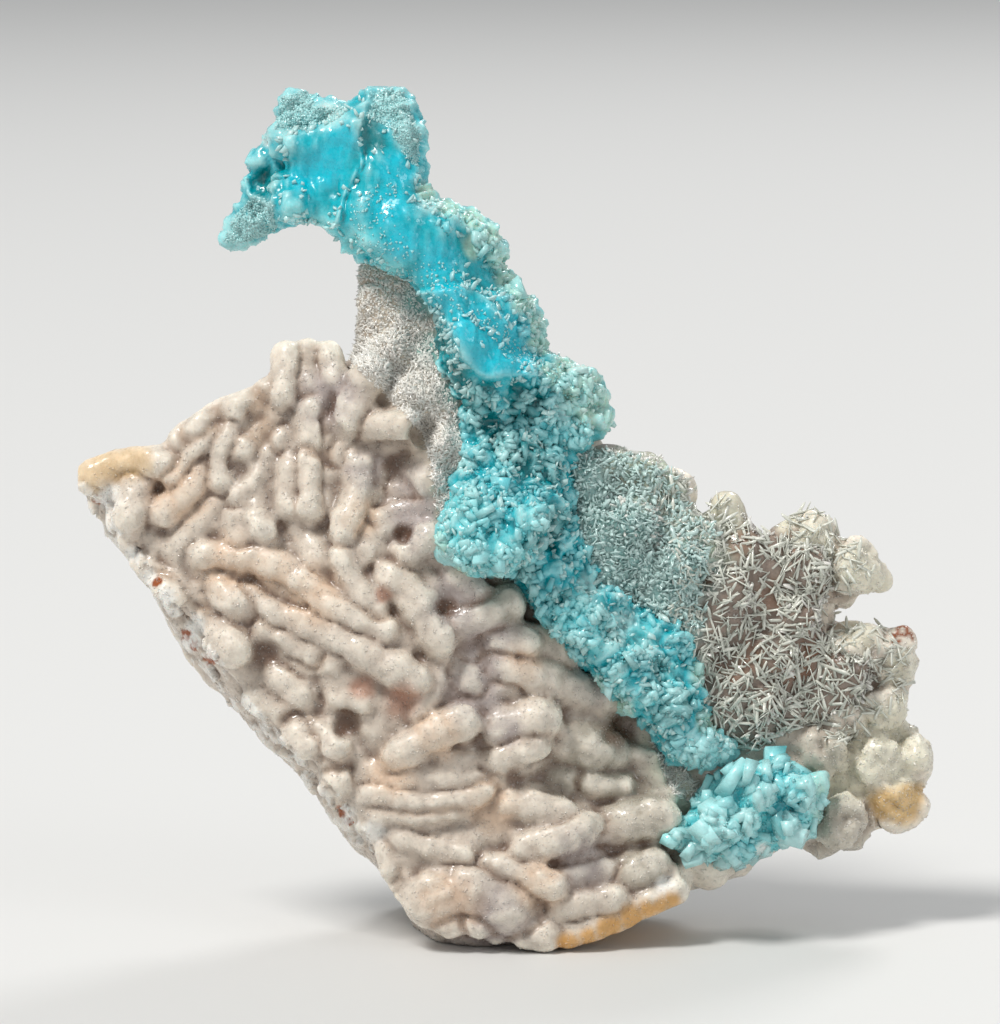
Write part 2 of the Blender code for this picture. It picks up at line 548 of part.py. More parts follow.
def fingers(group):
    """All quartz fingers as round-ended tubes that rise from root to tip."""
    curve = bpy.data.curves.new("fingers", "CURVE")
    curve.dimensions = "3D"
    curve.fill_mode = "FULL"
    curve.bevel_depth = 1.0
    curve.bevel_resolution = 2
    curve.use_fill_caps = True
    for number, (radius, lift, *route) in enumerate(FINGERS):
        path = smooth_path([(u, v, 0.0) for u, v in route], 1.3)
        lengths = [0.0]
        for a, b in zip(path, path[1:]):
            lengths.append(lengths[-1] + (b - a).length)
        start = (path[0] - path[1]).normalized()
        end = (path[-1] - path[-2]).normalized()
        rings = [(path[0] + start * radius * reach, 0.0, size) for reach, size in ROUND_END]
        rings += [(p, d / lengths[-1], 1.0) for p, d in zip(path, lengths)]
        rings += [(path[-1] + end * radius * reach, 1.0, size) for reach, size in reversed(ROUND_END)]
        spline = curve.splines.new("POLY")
        spline.points.add(len(rings) - 1)
        for point, (place, along, size) in zip(spline.points, rings):
            swell = 1.0 + 0.07 * math.sin(place.length * 1.9 + number)
            proud = radius * lift * (0.45 + 0.55 * along) + FINGER_STAND
            y = shepard(place.x, place.y, PLATE_FRONT) - proud
            point.co = (place.x, y, place.y, 1.0)
            point.radius = radius * size * swell
    return curve_to_mesh("fingers", curve, group)


def balls(name, places, group, detail=2):
    """Round lumps, each (u, v, depth of the middle, radius)."""
    bm = bmesh.new()
    for u, v, y, radius in places:
        bmesh.ops.create_icosphere(
            bm, subdivisions=detail, radius=radius, matrix=Matrix.Translation((u, y, v))
        )
    mesh = bpy.data.meshes.new(name)
    bm.to_mesh(mesh)
    bm.free()
    return mesh_object(name, mesh, group)


def roughen_back(obj, depth, scale):
    """Broken, lumpy relief wherever the surface faces away from the viewer."""
    mesh = obj.data
    normals = [Vector(v.normal) for v in mesh.vertices]
    for vert, normal in zip(mesh.vertices, normals):
        away = min(1.0, max(0.0, normal.y + 0.35))
        lump = noise.fractal(vert.co / scale, 1.0, 2.1, 3)
        vert.co += normal * (depth * away * lump)


def add_blade(bm, place, direction, across, length, width, thickness):
    """One flat crystal: a lath with a drawn-in end, rooted a bite below its place."""
    direction = direction.normalized()
    side = across.cross(direction).normalized()
    flat = direction.cross(side).normalized()
    turn = Matrix((side, flat, direction)).transposed().to_4x4()
    made = bmesh.ops.create_cube(bm, size=1.0)["verts"]
    for vert in made:
        tip = vert.co.z > 0
        vert.co.x *= width * (0.55 if tip else 1.0)
        vert.co.y *= thickness * (0.7 if tip else 1.0)
        vert.co.z = (vert.co.z + 0.5) * (length + ROOT_BITE) - ROOT_BITE
    bmesh.ops.transform(bm, verts=made, matrix=Matrix.Translation(place) @ turn)


def crystals(name, group, places, front, seed, length, width, thickness, spread):
    """Blades that stand on a front surface at the given places, leaning every way."""
    dice = random.Random(seed)
    bm = bmesh.new()
    for u, v in places:
        y = shepard(u, v, front)
        lean = Vector((dice.uniform(-spread, spread), -1.0, dice.uniform(-spread, spread)))
        across = Vector((dice.uniform(-1, 1), dice.uniform(-0.3, 0.3), dice.uniform(-1, 1)))
        size = dice.uniform(0.75, 1.25)
        add_blade(bm, Vector((u, y, v)), lean, across, length * size, width * size, thickness)
    mesh = bpy.data.meshes.new(name)
    bm.to_mesh(mesh)
    bm.free()
    return mesh_object(name, mesh, group)


def inside(u, v, outline):
    """True where (u, v) lies within the drawn outline."""
    odd = False
    for (u1, v1), (u2, v2) in zip(outline, outline[1:] + outline[:1]):
        if (v1 > v) != (v2 > v) and u < (u2 - u1) * (v - v1) / (v2 - v1) + u1:
            odd = not odd
    return odd


def scatter(outline, spacing, seed):
    """Loose but even places inside an outline."""
    dice = random.Random(seed)
    low_u = min(u for u, v in outline)
    high_u = max(u for u, v in outline)
    low_v = min(v for u, v in outline)
    high_v = max(v for u, v in outline)
    places = []
    rows = int((high_v - low_v) / spacing) + 1
    columns = int((high_u - low_u) / spacing) + 1
    for row in range(rows):
        for column in range(columns):
            u = low_u + (column + dice.uniform(0.1, 0.9)) * spacing
            v = low_v + (row + dice.uniform(0.1, 0.9)) * spacing
            if inside(u, v, outline):
                places.append((u, v))
    return places


def to_upright(obj):
    for vert in obj.data.vertices:
        vert.co = stand_up(*vert.co)


def skin_over(obj, gap, group):
    """A slightly swollen copy, used to keep a crust clear of what it grows on."""
    skin = mesh_object(obj.name + "_skin", obj.data.copy(), group)
    swell = skin.modifiers.new("swell", "DISPLACE")
    swell.strength = gap
    swell.mid_level = 0.0
    apply_modifiers(skin)
    skin.display_type = "WIRE"
    skin.hide_render = True
    return skin


def finish(obj, name, look):
    """From millimetres to metres, under its own name and material."""
    colour, roughness, transmission = look
    obj.data.transform(Matrix.Scale(MM, 4))
    obj.name = name
    obj.data.name = name
    material = bpy.data.materials.new(name)
    material.use_nodes = True
    shader = material.node_tree.nodes["Principled BSDF"]
    shader.inputs["Base Color"].default_value = (*colour, 1.0)
    shader.inputs["Roughness"].default_value = roughness
    shader.inputs["Transmission Weight"].default_value = transmission
    shader.inputs["Metallic"].default_value = 0.0
    material.diffuse_color = (*colour, 1.0)
    obj.data.materials.clear()
    obj.data.materials.append(material)


def quartz_matrix(parts, cutters):
    plate = slab(
        "plate", PLATE_OUTLINE, PLATE_FRONT, PLATE_BACK, parts, PLATE_ROUNDING,
        narrowing=PLATE_NARROWING, middle=PLATE_MIDDLE,
    )
    roughen_back(plate, BACK_LUMP_HEIGHT, BACK_LUMP_SIZE)
    join_into(plate, fingers(parts), balls("buds", buds(), parts), balls("knobs", KNOBS, parts))
    fuse(plate, FUSE_SIZE)
    pits = balls("pits", PITS, cutters)
    boolean(plate, pits, "DIFFERENCE")
    bpy.data.objects.remove(pits, do_unlink=True)
    fuse(plate, FUSE_SIZE)
    thin_out(plate, MATRIX_FACES, front_share=0.5)
    return plate


def buds():
    """Small round lumps that fill the hollows between the fingers."""
    dice = random.Random(BUD_SEED)
    places = []
    for u, v in scatter(FINGER_FIELD, BUD_SPACING, PLATE_SEED):
        radius = dice.uniform(*BUD_RADII)
        y = shepard(u, v, PLATE_FRONT)
        places.append((u, v, y - radius * dice.uniform(*BUD_SINK), radius))
    return places


def grown_over(name, body, hosts, group):
    """A crust kept clear of the pieces it grows on.

    The second, thinner skin clears the few creases where the full gap turns inwards.
    """
    merge_flats(body)
    for host in hosts:
        for gap in (CRUST_GAP, CREASE_GAP):
            skin = skin_over(host, gap, group)
            boolean(body, skin, "DIFFERENCE")
            bpy.data.objects.remove(skin, do_unlink=True)
    keep_largest_body(body)


def turquoise_crest(matrix, parts, cutters):
    body = slab("crest", CREST_OUTLINE, CREST_FRONT, CREST_BACK, parts, CREST_ROUNDING)
    fins = slab("fins", FIN_OUTLINE, FIN_FRONT, FIN_BACK, parts, FIN_ROUNDING)
    join_into(body, fins)
    fuse(body, FUSE_SIZE)
    thin_out(body, CREST_FACES)
    for number, (field, spacing, length, width, spread) in enumerate(CREST_CRYSTALS):
        places = scatter(field, spacing, CREST_PLACE_SEED + number)
        grown = crystals(
            "crest_crystals", cutters, places, CREST_FRONT, CREST_SHAPE_SEED + number, length, width,
            width * 0.4, spread,
        )
        boolean(body, grown, "UNION")
        bpy.data.objects.remove(grown, do_unlink=True)
    to_upright(body)
    grown_over("crest", body, (matrix,), cutters)
    return body


def turquoise_cluster(hosts, parts, cutters):
    body = slab("cluster", CLUSTER_OUTLINE, CLUSTER_FRONT, CLUSTER_BACK, parts, CLUSTER_ROUNDING)
    fuse(body, FUSE_SIZE)
    thin_out(body, CLUSTER_FACES)
    places = scatter(CLUSTER_OUTLINE, CHIP_SPACING, CLUSTER_PLACE_SEED)
    grown = crystals(
        "cluster_crystals", cutters, places, CLUSTER_FRONT, CLUSTER_SHAPE_SEED, CHIP_LENGTH,
        CHIP_WIDTH, CHIP_THICKNESS, CHIP_SPREAD,
    )
    boolean(body, grown, "UNION")
    bpy.data.objects.remove(grown, do_unlink=True)
    to_upright(body)
    grown_over("cluster", body, hosts, cutters)
    return body


def barite_blades(hosts, parts, cutters):
    body = slab("crust", CRUST_OUTLINE, CRUST_FRONT, CRUST_BACK, parts, CRUST_ROUNDING)
    join_into(body, balls("crust_knobs", CRUST_KNOBS, parts))
    fuse(body, FUSE_SIZE)
    thin_out(body, CRUST_FACES)
    places = scatter(CRUST_OUTLINE, BLADE_SPACING, BLADE_PLACE_SEED)
    grown = crystals(
        "blades", cutters, places, CRUST_FRONT, BLADE_SHAPE_SEED, BLADE_LENGTH, BLADE_WIDTH,
        BLADE_THICKNESS, BLADE_SPREAD,
    )
    boolean(body, grown, "UNION")
    bpy.data.objects.remove(grown, do_unlink=True)
    to_upright(body)
    grown_over("crust", body, hosts, cutters)
    return body


def foot_cut(obj, cutters):
    """Takes off everything below the surface that the specimen stands on."""
    bpy.ops.mesh.primitive_cube_add(size=CUTTER_SIZE, location=(0.0, 0.0, -CUTTER_SIZE / 2))
    block = bpy.context.object
    block.name = "foot_cutter"
    block.display_type = "WIRE"
    block.hide_render = True
    for group in list(block.users_collection):
        group.objects.unlink(block)
    cutters.objects.link(block)
    boolean(obj, block, "DIFFERENCE")
    keep_largest_body(obj)


def main():
    clear_scene()
    parts = make_collection("barite_specimen")
    cutters = make_collection("cutters")

    matrix = quartz_matrix(parts, cutters)
    to_upright(matrix)
    foot_cut(matrix, cutters)
    crest = turquoise_crest(matrix, parts, cutters)
    cluster = turquoise_cluster((matrix, crest), parts, cutters)
    blades = barite_blades((matrix, crest, cluster), parts, cutters)

    finish(matrix, "quartz_matrix", QUARTZ_FINISH)
    finish(crest, "turquoise_crest", TURQUOISE_FINISH)
    finish(cluster, "turquoise_cluster", PALE_TURQUOISE_FINISH)
    finish(blades, "barite_blades", BARITE_FINISH)


main()
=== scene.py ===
"""The looks of the barite specimen: drusy quartz fingers, a turquoise crest and bladed barite.

Shapes are drawn in millimetres as the front view shows them: u to the right, v up and y away from
the viewer. stand_up turns them into the specimen's own upright frame.
"""

import math

import bpy
import numpy as np
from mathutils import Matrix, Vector


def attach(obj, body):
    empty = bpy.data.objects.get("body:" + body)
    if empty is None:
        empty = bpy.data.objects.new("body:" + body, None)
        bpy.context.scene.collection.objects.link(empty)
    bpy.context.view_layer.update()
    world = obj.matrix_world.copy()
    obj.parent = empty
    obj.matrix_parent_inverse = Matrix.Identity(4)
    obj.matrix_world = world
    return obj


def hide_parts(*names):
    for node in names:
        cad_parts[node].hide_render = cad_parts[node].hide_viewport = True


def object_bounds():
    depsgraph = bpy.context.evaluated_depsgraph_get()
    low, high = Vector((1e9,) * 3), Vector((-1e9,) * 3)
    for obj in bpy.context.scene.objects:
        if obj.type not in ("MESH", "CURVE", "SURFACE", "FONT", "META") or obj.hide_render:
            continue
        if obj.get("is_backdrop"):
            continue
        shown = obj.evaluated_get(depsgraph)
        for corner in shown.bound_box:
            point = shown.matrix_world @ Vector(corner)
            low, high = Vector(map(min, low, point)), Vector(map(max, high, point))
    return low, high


MM = 0.001

# The front view: how far the camera looks down, from how far, at what, and how wide it sees.

VIEW_TILT = math.radians(8.0)
VIEW_DISTANCE = 900.0
VIEW_CENTRE_U = -1.67
VIEW_CENTRE_V = 71.0
AIM_HEIGHT = 71.7
PICTURE_SPAN = 170.67
SENSOR = 36.0

# Fineness of the skins: first of the slabs that pieces start from, then of the whole pieces.

PLATE_CELL = 1.0
DRAFT_CELL = 0.9
FIN_CELL = 0.7
QUARTZ_CELL = 0.5
CREST_CELL = 0.42
CLUSTER_CELL = 0.42
CRUST_CELL = 0.55

# A slab before it is bent, and how deep its rim lies between its front (0) and its back (1).

BLANK_THICKNESS = 20.0
RIM_LEVEL = 0.52

# Fingers: how far all stand out, how much neighbours differ, how much thicker than listed they are,
# and how far apart their rings lie.

FINGER_STAND = 1.3
FINGER_STEP = 0.8
FINGER_SWELL = 1.3
RING_SPACING = 0.8

# Rings of a rounded finger end, as (distance past the path's end, ring size), both in radii.

ROUND_END = ((0.9, 0.3), (0.62, 0.76), (0.3, 0.95))

# Buds, the short fingers in the hollows: spacing, and where each one's balls sit, in radii.

BUD_SPACING = 3.2
BUD_STEPS = (-1.6, -0.8, 0.0, 0.8, 1.6)

# How near the solid model's box a point may come, in metres.

BOX_CLEARANCE = 0.00002

# The quartz plate: outline, (u, v, y) depths of its front and back, and how its back narrows.

PLATE_OUTLINE = (
    (-71.6, 75.8), (-67, 78.8), (-60, 78.8), (-55, 82), (-50, 87), (-44, 90), (-39.8, 92.5),
    (-38.6, 97), (-31, 98.4), (-26.4, 95.6), (-25.6, 99), (-25.8, 112.5), (-20, 115), (-13, 113),
    (-7, 108), (-2, 103), (3, 96), (9, 91), (14, 85), (18.5, 79.5), (26, 76), (29, 70), (36, 71),
    (41, 66), (48, 68.5), (54, 66), (59, 65), (61, 61), (58, 57.4), (54, 57), (51.4, 54.4), (54, 51.6),
    (63, 51.6), (67, 51), (66.4, 47), (66.6, 42), (65.6, 36), (69.4, 32.6), (70.4, 28.5), (67.4, 25),
    (68.4, 21.5), (60, 19.6), (58.6, 15), (53, 14.4), (48, 16.4), (44, 15), (39, 10.6), (31, 8.3),
    (24, 4.6), (18, 1.2), (13, -0.8), (4, -3.5), (-7, -4.2), (-13, -1.8), (-18, 4.8), (-22, 11.2),
    (-26, 15.3), (-32, 23.5), (-39, 30.7), (-45, 37), (-53, 47), (-60, 57.8), (-66, 65.6), (-71, 73.4),
)
PLATE_FRONT = (
    (-70, 75, -3), (-60, 65, -6), (-50, 80, -7), (-52, 58, -8), (-40, 92, -7), (-38, 70, -10),
    (-36, 98, -5), (-40, 45, -10), (-28, 86, -9), (-25, 60, -13), (-28, 30, -11), (-20, 45, -14),
    (-18, 79, -8), (-12, 60, -13), (-5, 45, -12), (-15, 25, -13), (-20, 12, -11), (-8, 5, -12),
    (0, 35, -12), (5, 15, -12), (8, 0, -12), (10, 30, -8), (20, 30, -4), (24, 20, -7), (20, 6, -10),
    (30, 8, -9), (-22, 110, -9), (-20, 100, -11), (-15, 88, -14), (-10, 78, -15), (0, 90, -11),
    (0, 70, -12), (10, 60, -8), (20, 45, -4), (15, 78, -7), (28, 70, -4), (35, 35, 0), (30, 20, -4),
    (45, 55, -1), (45, 25, -2), (55, 62, 0), (58, 40, 2), (65, 45, 3), (66, 25, 3), (55, 18, 1),
)
PLATE_BACK = (
    (-70, 75, 5), (-50, 80, 9), (-40, 92, 9), (-30, 97, 8), (-50, 55, 11), (-30, 60, 16), (-40, 40, 13),
    (-25, 25, 17), (0, 50, 21), (-10, 3, 25), (10, 0, 25), (0, 80, 16), (-20, 108, 3), (-8, 105, 6),
    (10, 90, 10), (25, 72, 13), (40, 60, 15), (60, 60, 11), (66, 45, 12), (66, 25, 13), (45, 20, 17),
    (25, 10, 21), (30, 45, 19),
)
PLATE_MIDDLE = (-3.0, 18.0)
PLATE_NARROWING = 0.1

# One finger a line: radius, lift above the plate in radii, and its path from root to tip.

FINGERS = (
    (2.3, 0.7, (-70, 76.5), (-65.4, 78.6), (-58.5, 79.3)),
    (2.7, 0.6, (-62.5, 75), (-63, 70.5)),
    (1.9, 0.5, (-62.4, 67.6), (-63.2, 66.4)),
    (1.7, 0.6, (-49.6, 84.9), (-53, 81), (-56.2, 76.9)),
    (2.1, 1.0, (-52, 77.2), (-53.4, 74.7), (-57.8, 70.8)),
    (2.1, 0.5, (-49.6, 71.8), (-51.8, 68.8), (-56, 64.4)),
    (1.8, 0.5, (-47, 84), (-48.7, 78.8), (-48.4, 76.3)),
    (2.0, 1.0, (-41, 85.5), (-44.5, 81)),
    (1.4, 0.5, (-38.2, 84), (-38.4, 82.8)),
    (1.5, 0.5, (-40.5, 80.5), (-42.6, 76.1), (-45.3, 73.5)),
    (1.8, 1.0, (-46, 69.5), (-44.8, 66)),
    (1.7, 1.0, (-42, 70.2), (-41, 68)),
    (1.8, 1.0, (-36.7, 79), (-37.3, 71.8)),
    (2.0, 0.3, (-53.2, 84.2), (-55, 82.6)),
    (1.9, 0.4, (-50.5, 86), (-52.6, 84.6)),
    (2.0, 0.4, (-46.5, 88.2), (-49, 87)),
    (2.0, 0.4, (-43, 89.4), (-45.6, 88.4)),
    (1.9, 0.4, (-40.6, 91), (-42.6, 89)),
    (2.0, 0.6, (-38.5, 88), (-42, 84)),
    (2.0, 0.6, (-37.2, 97.4), (-37.8, 90.5)),
    (2.1, 0.6, (-33.8, 97.6), (-33.8, 92)),
    (1.9, 0.2, (-30.3, 97.4), (-29, 93)),
    (1.8, 0.5, (-33.3, 88), (-33, 82)),
    (1.9, 0.4, (-31, 85), (-30.8, 72)),
    (2.0, 0.8, (-33.5, 79.5), (-33.3, 71.5)),
    (1.6, 0.5, (-26, 86), (-29, 80.5)),
    (2.4, 1.1, (-23.3, 94.6), (-26.6, 86.8)),
    (2.0, 1.1, (-23.5, 85.6), (-17.2, 85.4)),
    (1.6, 0.6, (-24.5, 82.8), (-17.5, 82)),
    (2.1, 1.0, (-25.3, 79), (-25.7, 73), (-27.5, 68.2)),
    (1.3, 0.5, (-22, 77.6), (-22.2, 73.4)),
    (2.4, 0.5, (-15.4, 78.6), (-13.8, 76.6)),
    (1.4, 0.5, (-18.5, 74.6), (-15.2, 74.6)),
    (1.9, 0.3, (-23.3, 69.6), (-14.7, 71.5)),
    (1.6, 0.5, (-24.4, 68.4), (-23.6, 63.6)),
    (2.4, 0.5, (-17, 64), (-13.3, 67)),
    (2.2, 0.5, (-33.4, 67.2), (-32.1, 63.3)),
    (1.8, 0.9, (-28, 63.5), (-26.2, 59.4), (-22.3, 54.2)),
    (2.5, 1.2, (-19.6, 60.3), (-16.2, 57), (-14.3, 54.4), (-11.8, 49.8)),
    (2.6, 0.2, (-8.8, 60.5), (-6.4, 57.6)),
    (2.5, 0.3, (-8.9, 51.9), (-5, 53.4), (-0.6, 55.4)),
    (1.6, 0.3, (-8.5, 47), (-4, 48)),
    (2.1, 0.9, (-2, 49.5), (2.5, 49)),
    (1.9, 0.2, (4.5, 50), (9, 47)),
    (2.8, 0.5, (-1, 45.5), (3, 44), (7.8, 42.1), (15.5, 39.8)),
    (2.0, 0.7, (-51, 63.8), (-43.4, 63.3), (-38.4, 61.7), (-34.8, 59.4), (-28.4, 54.6), (-21, 51.2)),
    (1.6, 0.6, (-49.8, 61.6), (-42.9, 58.8), (-37.9, 58), (-31, 54.2)),
    (2.3, 1.1, (-42.9, 56.9), (-39, 53.8), (-34.6, 52.8), (-27.6, 49.4), (-19.6, 45), (-16.2, 43.4)),
    (1.9, 0.5, (-41, 51.5), (-37, 49.4), (-32.5, 47)),
    (1.9, 1.0, (-36.3, 45.1), (-29.5, 45.8)),
    (2.4, 0.9, (-47.9, 57.7), (-45.6, 55.6)),
    (1.6, 0.2, (-52.6, 57.6), (-51, 56)),
    (2.2, 0.5, (-59.6, 62), (-57.8, 60)),
    (2.0, 0.4, (-57.6, 58.8), (-56, 57)),
    (2.0, 0.5, (-50.4, 54.4), (-48.8, 52.4)),
    (1.9, 0.6, (-46.8, 53), (-45.4, 51.2)),
    (2.7, 0.8, (-48, 50), (-46, 48)),
    (2.1, 0.5, (-42.3, 40.3), (-38.4, 37.2)),
    (2.1, 0.3, (-38.6, 43.3), (-34.3, 40.2)),
    (2.2, 0.9, (-35.6, 34.4), (-34, 32.4)),
    (1.8, 0.5, (-33, 36.6), (-31.6, 35)),
    (2.1, 0.9, (-30.6, 33.8), (-29, 32)),
    (2.2, 0.9, (-28.6, 28.3), (-28.9, 26)),
    (1.8, 0.5, (-30.6, 30.6), (-29.4, 29)),
    (1.8, 0.3, (-29, 40), (-24.6, 39.2)),
    (1.9, 0.9, (-23.6, 36.4), (-21.8, 34.4)),
    (1.4, 0.9, (-11.3, 46.2), (-12.6, 42), (-15.3, 37.5)),
    (2.1, 0.9, (-8.6, 44.2), (-6.8, 43)),
    (1.6, 0.3, (-8.5, 40.7), (0, 41.6)),
    (2.5, 1.1, (-18.3, 30.6), (-12.6, 34.2), (-7.8, 36)),
    (2.8, 0.8, (-2, 35), (5, 36.6)),
    (2.1, 0.9, (-2, 29.5), (4.2, 32.3)),
    (2.8, 0.3, (9, 32.6), (16.7, 30.8)),
    (1.9, 0.5, (7.6, 27), (9.6, 26.2)),
    (1.7, 0.9, (13.5, 25.7), (19, 25.2)),
    (2.1, 0.6, (-24.5, 27.2), (-12.8, 26.6), (-3.5, 26.5)),
    (1.8, 0.7, (-23, 24), (-15, 22.3), (-7.5, 23.3), (-4.5, 25)),
    (1.4, 0.7, (-22, 20.6), (-14.4, 20.5), (-10, 21.3)),
    (2.3, 1.0, (-0.2, 22.3), (8, 20.9)),
    (2.1, 0.9, (2.8, 15), (8.3, 16.3), (13, 18.6)),
    (2.8, 0.9, (16.7, 18.6), (24.5, 20)),
    (1.4, 0.3, (-14, 18.2), (-3.3, 16.9)),
    (1.7, 0.8, (-18.5, 16.7), (-13.3, 14.9), (-7.4, 13.8)),
    (1.3, 0.5, (-23.4, 19), (-22, 17.4)),
    (1.5, 0.5, (-20.8, 14.8), (-20.2, 11.4)),
    (1.2, 0.5, (-19.2, 9.6), (-17.8, 7.4)),
    (1.5, 0.5, (-17.2, 11), (-13.4, 9.6)),
    (2.1, 0.9, (-3.3, 11.9), (2, 10.4), (6.9, 8.8)),
    (4.0, 0.3, (-13, 6.5), (-6.4, 8), (-0.5, 5)),
    (1.9, 0.9, (-11.6, 3.4), (-9.8, 2.2)),
    (1.8, 0.9, (-7.2, 2.8), (-5, 1.8)),
    (1.9, 0.9, (-2.4, 2.4), (1.4, 3.8)),
    (2.0, 0.5, (2.6, 0.4), (6, 0.2)),
    (2.1, 1.0, (9, 5), (17.2, 6.5)),
    (2.4, 0.7, (20.6, 10.8), (24, 12.4)),
    (1.7, 0.2, (9, 10), (16, 11.6)),
    (1.5, 0.2, (8.9, 13), (15, 13.5)),
    (1.8, 0.3, (9.5, 0.3), (16.7, 2.8), (21.7, 5.3), (27.8, 7.8)),
)
FINGER_FIELD = (
    (-68, 75), (-60, 78), (-52, 83), (-40, 89), (-36, 95), (-29, 94), (-25, 92), (-17, 86), (-13, 80),
    (-12, 64), (-2, 58), (6, 48), (16, 38), (21, 32), (26, 20), (26, 10), (16, 4), (6, 1), (-6, 0),
    (-14, 5), (-22, 15), (-34, 30), (-48, 46), (-60, 62), (-67, 72),
)

# Round knobs of quartz and druse, as (u, v, depth of the middle, radius), and where points cover them.

KNOBS = (
    (57.5, 62, 1, 4.6), (61.3, 60, 3, 2.2), (50, 66, 2, 5.2), (57, 47, 3, 5.4), (62, 46, 4, 4.6),
    (65, 44.5, 4, 3.0), (65, 49.4, 3, 1.9), (62, 39.5, 4, 4.6), (55, 38, 3, 4.5), (52, 31, 0, 4.4),
    (61, 30, 2, 4.2), (67.3, 30.2, 4, 3.6), (63.5, 24.5, 3, 3.8), (65, 22, 5, 3.4), (55, 19.5, 0, 4.6),
    (36, 69, 2, 3.6), (45, 64, 1, 4.6), (27, 74, 0, 4.4), (20, 77, -2, 4.2), (49.8, 54, 4, 3.4),
    (-22, 106, -7, 3.6), (-20, 98, -9, 4.0), (-16.5, 90, -11, 4.2), (-13, 82, -13, 4.0),
    (42, 18, 2, 4.4), (33, 11.5, -3, 3.6), (27, 9, -6, 3.2), (48, 20.6, 2, 4.2), (46, 27, 1, 4.6),
)
KNOB_FIELD = (
    (46, 70), (62, 66), (62, 56), (56, 55), (52, 52), (68, 52), (70, 40), (72, 30), (69, 18), (50, 13),
    (46, 20), (52, 30), (58, 40), (56, 50), (50, 58),
)

# The plate's skin grows knobbly to the right of this u, over this many millimetres.

KNOBBLY_FROM = 46.0
KNOBBLY_FADE = 6.0

# Hollows in the plate, as (u, v, depth of the middle, radius), and how far before it each one digs.

PITS = (
    (-14.2, 84.4, -14, 2.6), (-19.6, 79, -14, 2.4), (-10.4, 55.4, -18, 2.0), (-27.2, 35.8, -16, 2.6),
    (-40.5, 47.2, -15, 2.6), (-18, 67.4, -16, 1.8), (1.1, 26.6, -16, 1.9), (18, 34.6, -12, 3.0),
    (42, 33, -5, 3.0), (36.5, 48, -5, 2.2), (48.6, 43.6, -3, 2.2),
)
PIT_REACH = 9.0

# The broken edge at the lower left, and the needle druse on the column and beside the crest.

BROKEN_EDGE = (
    (-72.4, 77), (-67.4, 74.4), (-60.6, 63), (-56, 56), (-51.4, 51), (-45, 42), (-36.6, 32),
    (-28.6, 24), (-24, 18), (-22, 11), (-26, 12), (-48, 38), (-60, 56), (-72.4, 74),
)
COLUMN = (
    (-25.6, 113), (-26, 104), (-26.4, 96), (-21, 90.6), (-17.4, 87), (-14.4, 83.4), (-13, 79.4),
    (-12.6, 75.4), (-11.4, 71), (-9, 70), (-7, 75), (-6, 80), (-8, 87), (-11, 94), (-13, 103),
    (-17, 110),
)
COLUMN_EDGE = (
    (-27.4, 97), (-21, 91), (-17.4, 87.4), (-14.4, 83.6), (-13.4, 79.4), (-13, 75.4), (-11.6, 70),
    (-7.6, 70), (-7, 76), (-7.4, 81), (-9, 87), (-12, 94), (-15, 101), (-18, 106), (-20, 101),
    (-25, 99),
)
MARGIN = (
    (19, 38.6), (23.6, 34), (25, 29), (27, 24), (30, 22.6), (32, 24.6), (29, 28), (28, 33), (23, 38),
)

# The turquoise crest, and the thin fins behind its head.

CREST_OUTLINE = (
    (-37.3, 128.6), (-39, 124.5), (-39.6, 121.6), (-38.6, 119.6), (-36.5, 119.2), (-33.5, 119.6),
    (-29, 117), (-24.5, 113.2), (-17, 110), (-12.5, 104), (-10.5, 95), (-8, 88), (-7.4, 82), (-9, 75),
    (-11.6, 69), (-11.5, 64), (-8, 62), (-3, 60.7), (1.5, 62), (3.5, 56), (7, 51.5), (12, 46),
    (17, 40.3), (23, 36), (27, 30), (33, 28.4), (37, 30.8), (37, 32.4), (33.2, 36), (32, 40),
    (31.5, 45), (30, 50), (26.5, 54), (20, 55.8), (15.5, 60.5), (11, 68.5), (9, 75), (10, 80),
    (13, 82.5), (16.4, 86), (15.3, 90.5), (13, 94.3), (8, 96.6), (5, 98.5), (5, 101.5), (3.5, 105.4),
    (0.3, 109), (-1.5, 112), (-1, 115), (-3.5, 118.3), (-7, 121), (-11, 122), (-15, 125), (-15.2, 129),
    (-14.6, 134), (-16.5, 138), (-18.3, 141), (-22.6, 142), (-25.6, 139.8), (-28.4, 137.4),
    (-32.2, 135.6), (-38.8, 134.4), (-38.6, 131.5),
)
CREST_FRONT = (
    (-37, 121, -15), (-38, 133, -12), (-33, 128, -9.5), (-31, 124, -11), (-34, 132, -10.5),
    (-30, 135, -12), (-28, 129, -12), (-26, 121, -16), (-25, 134, -14), (-22, 139, -10),
    (-18, 132, -13), (-23, 127, -15), (-19, 117, -17), (-12, 116, -17), (-6, 117, -13), (-2, 111, -11),
    (-12, 106, -19), (-8, 99, -21), (-2, 104, -17), (3, 100, -12), (-3, 93, -20), (3, 92, -16),
    (10, 93, -11), (14, 88, -9), (0, 86, -15), (9, 83, -11), (-3, 79, -17), (-8, 71, -22),
    (-4, 64, -23), (2, 69, -22), (6, 77, -15), (5, 60, -17), (8, 66, -15), (10, 52, -17), (14, 62, -12),
    (17, 46, -16), (23, 53, -11), (24, 38, -14), (29, 46, -10), (31, 32, -11), (35, 35, -7),
)
CREST_BACK = (
    (-37, 124, -6), (-36, 132, -5), (-30, 134, -4), (-20, 138, -3), (-28, 120, -6), (-18, 125, -2),
    (-8, 116, -1), (0, 106, 1), (5, 97, 3), (14, 90, 3), (-15, 112, -5), (0, 80, -6), (-5, 65, -9),
    (10, 60, 0), (20, 48, 3), (33, 33, 6), (12, 82, 1),
)
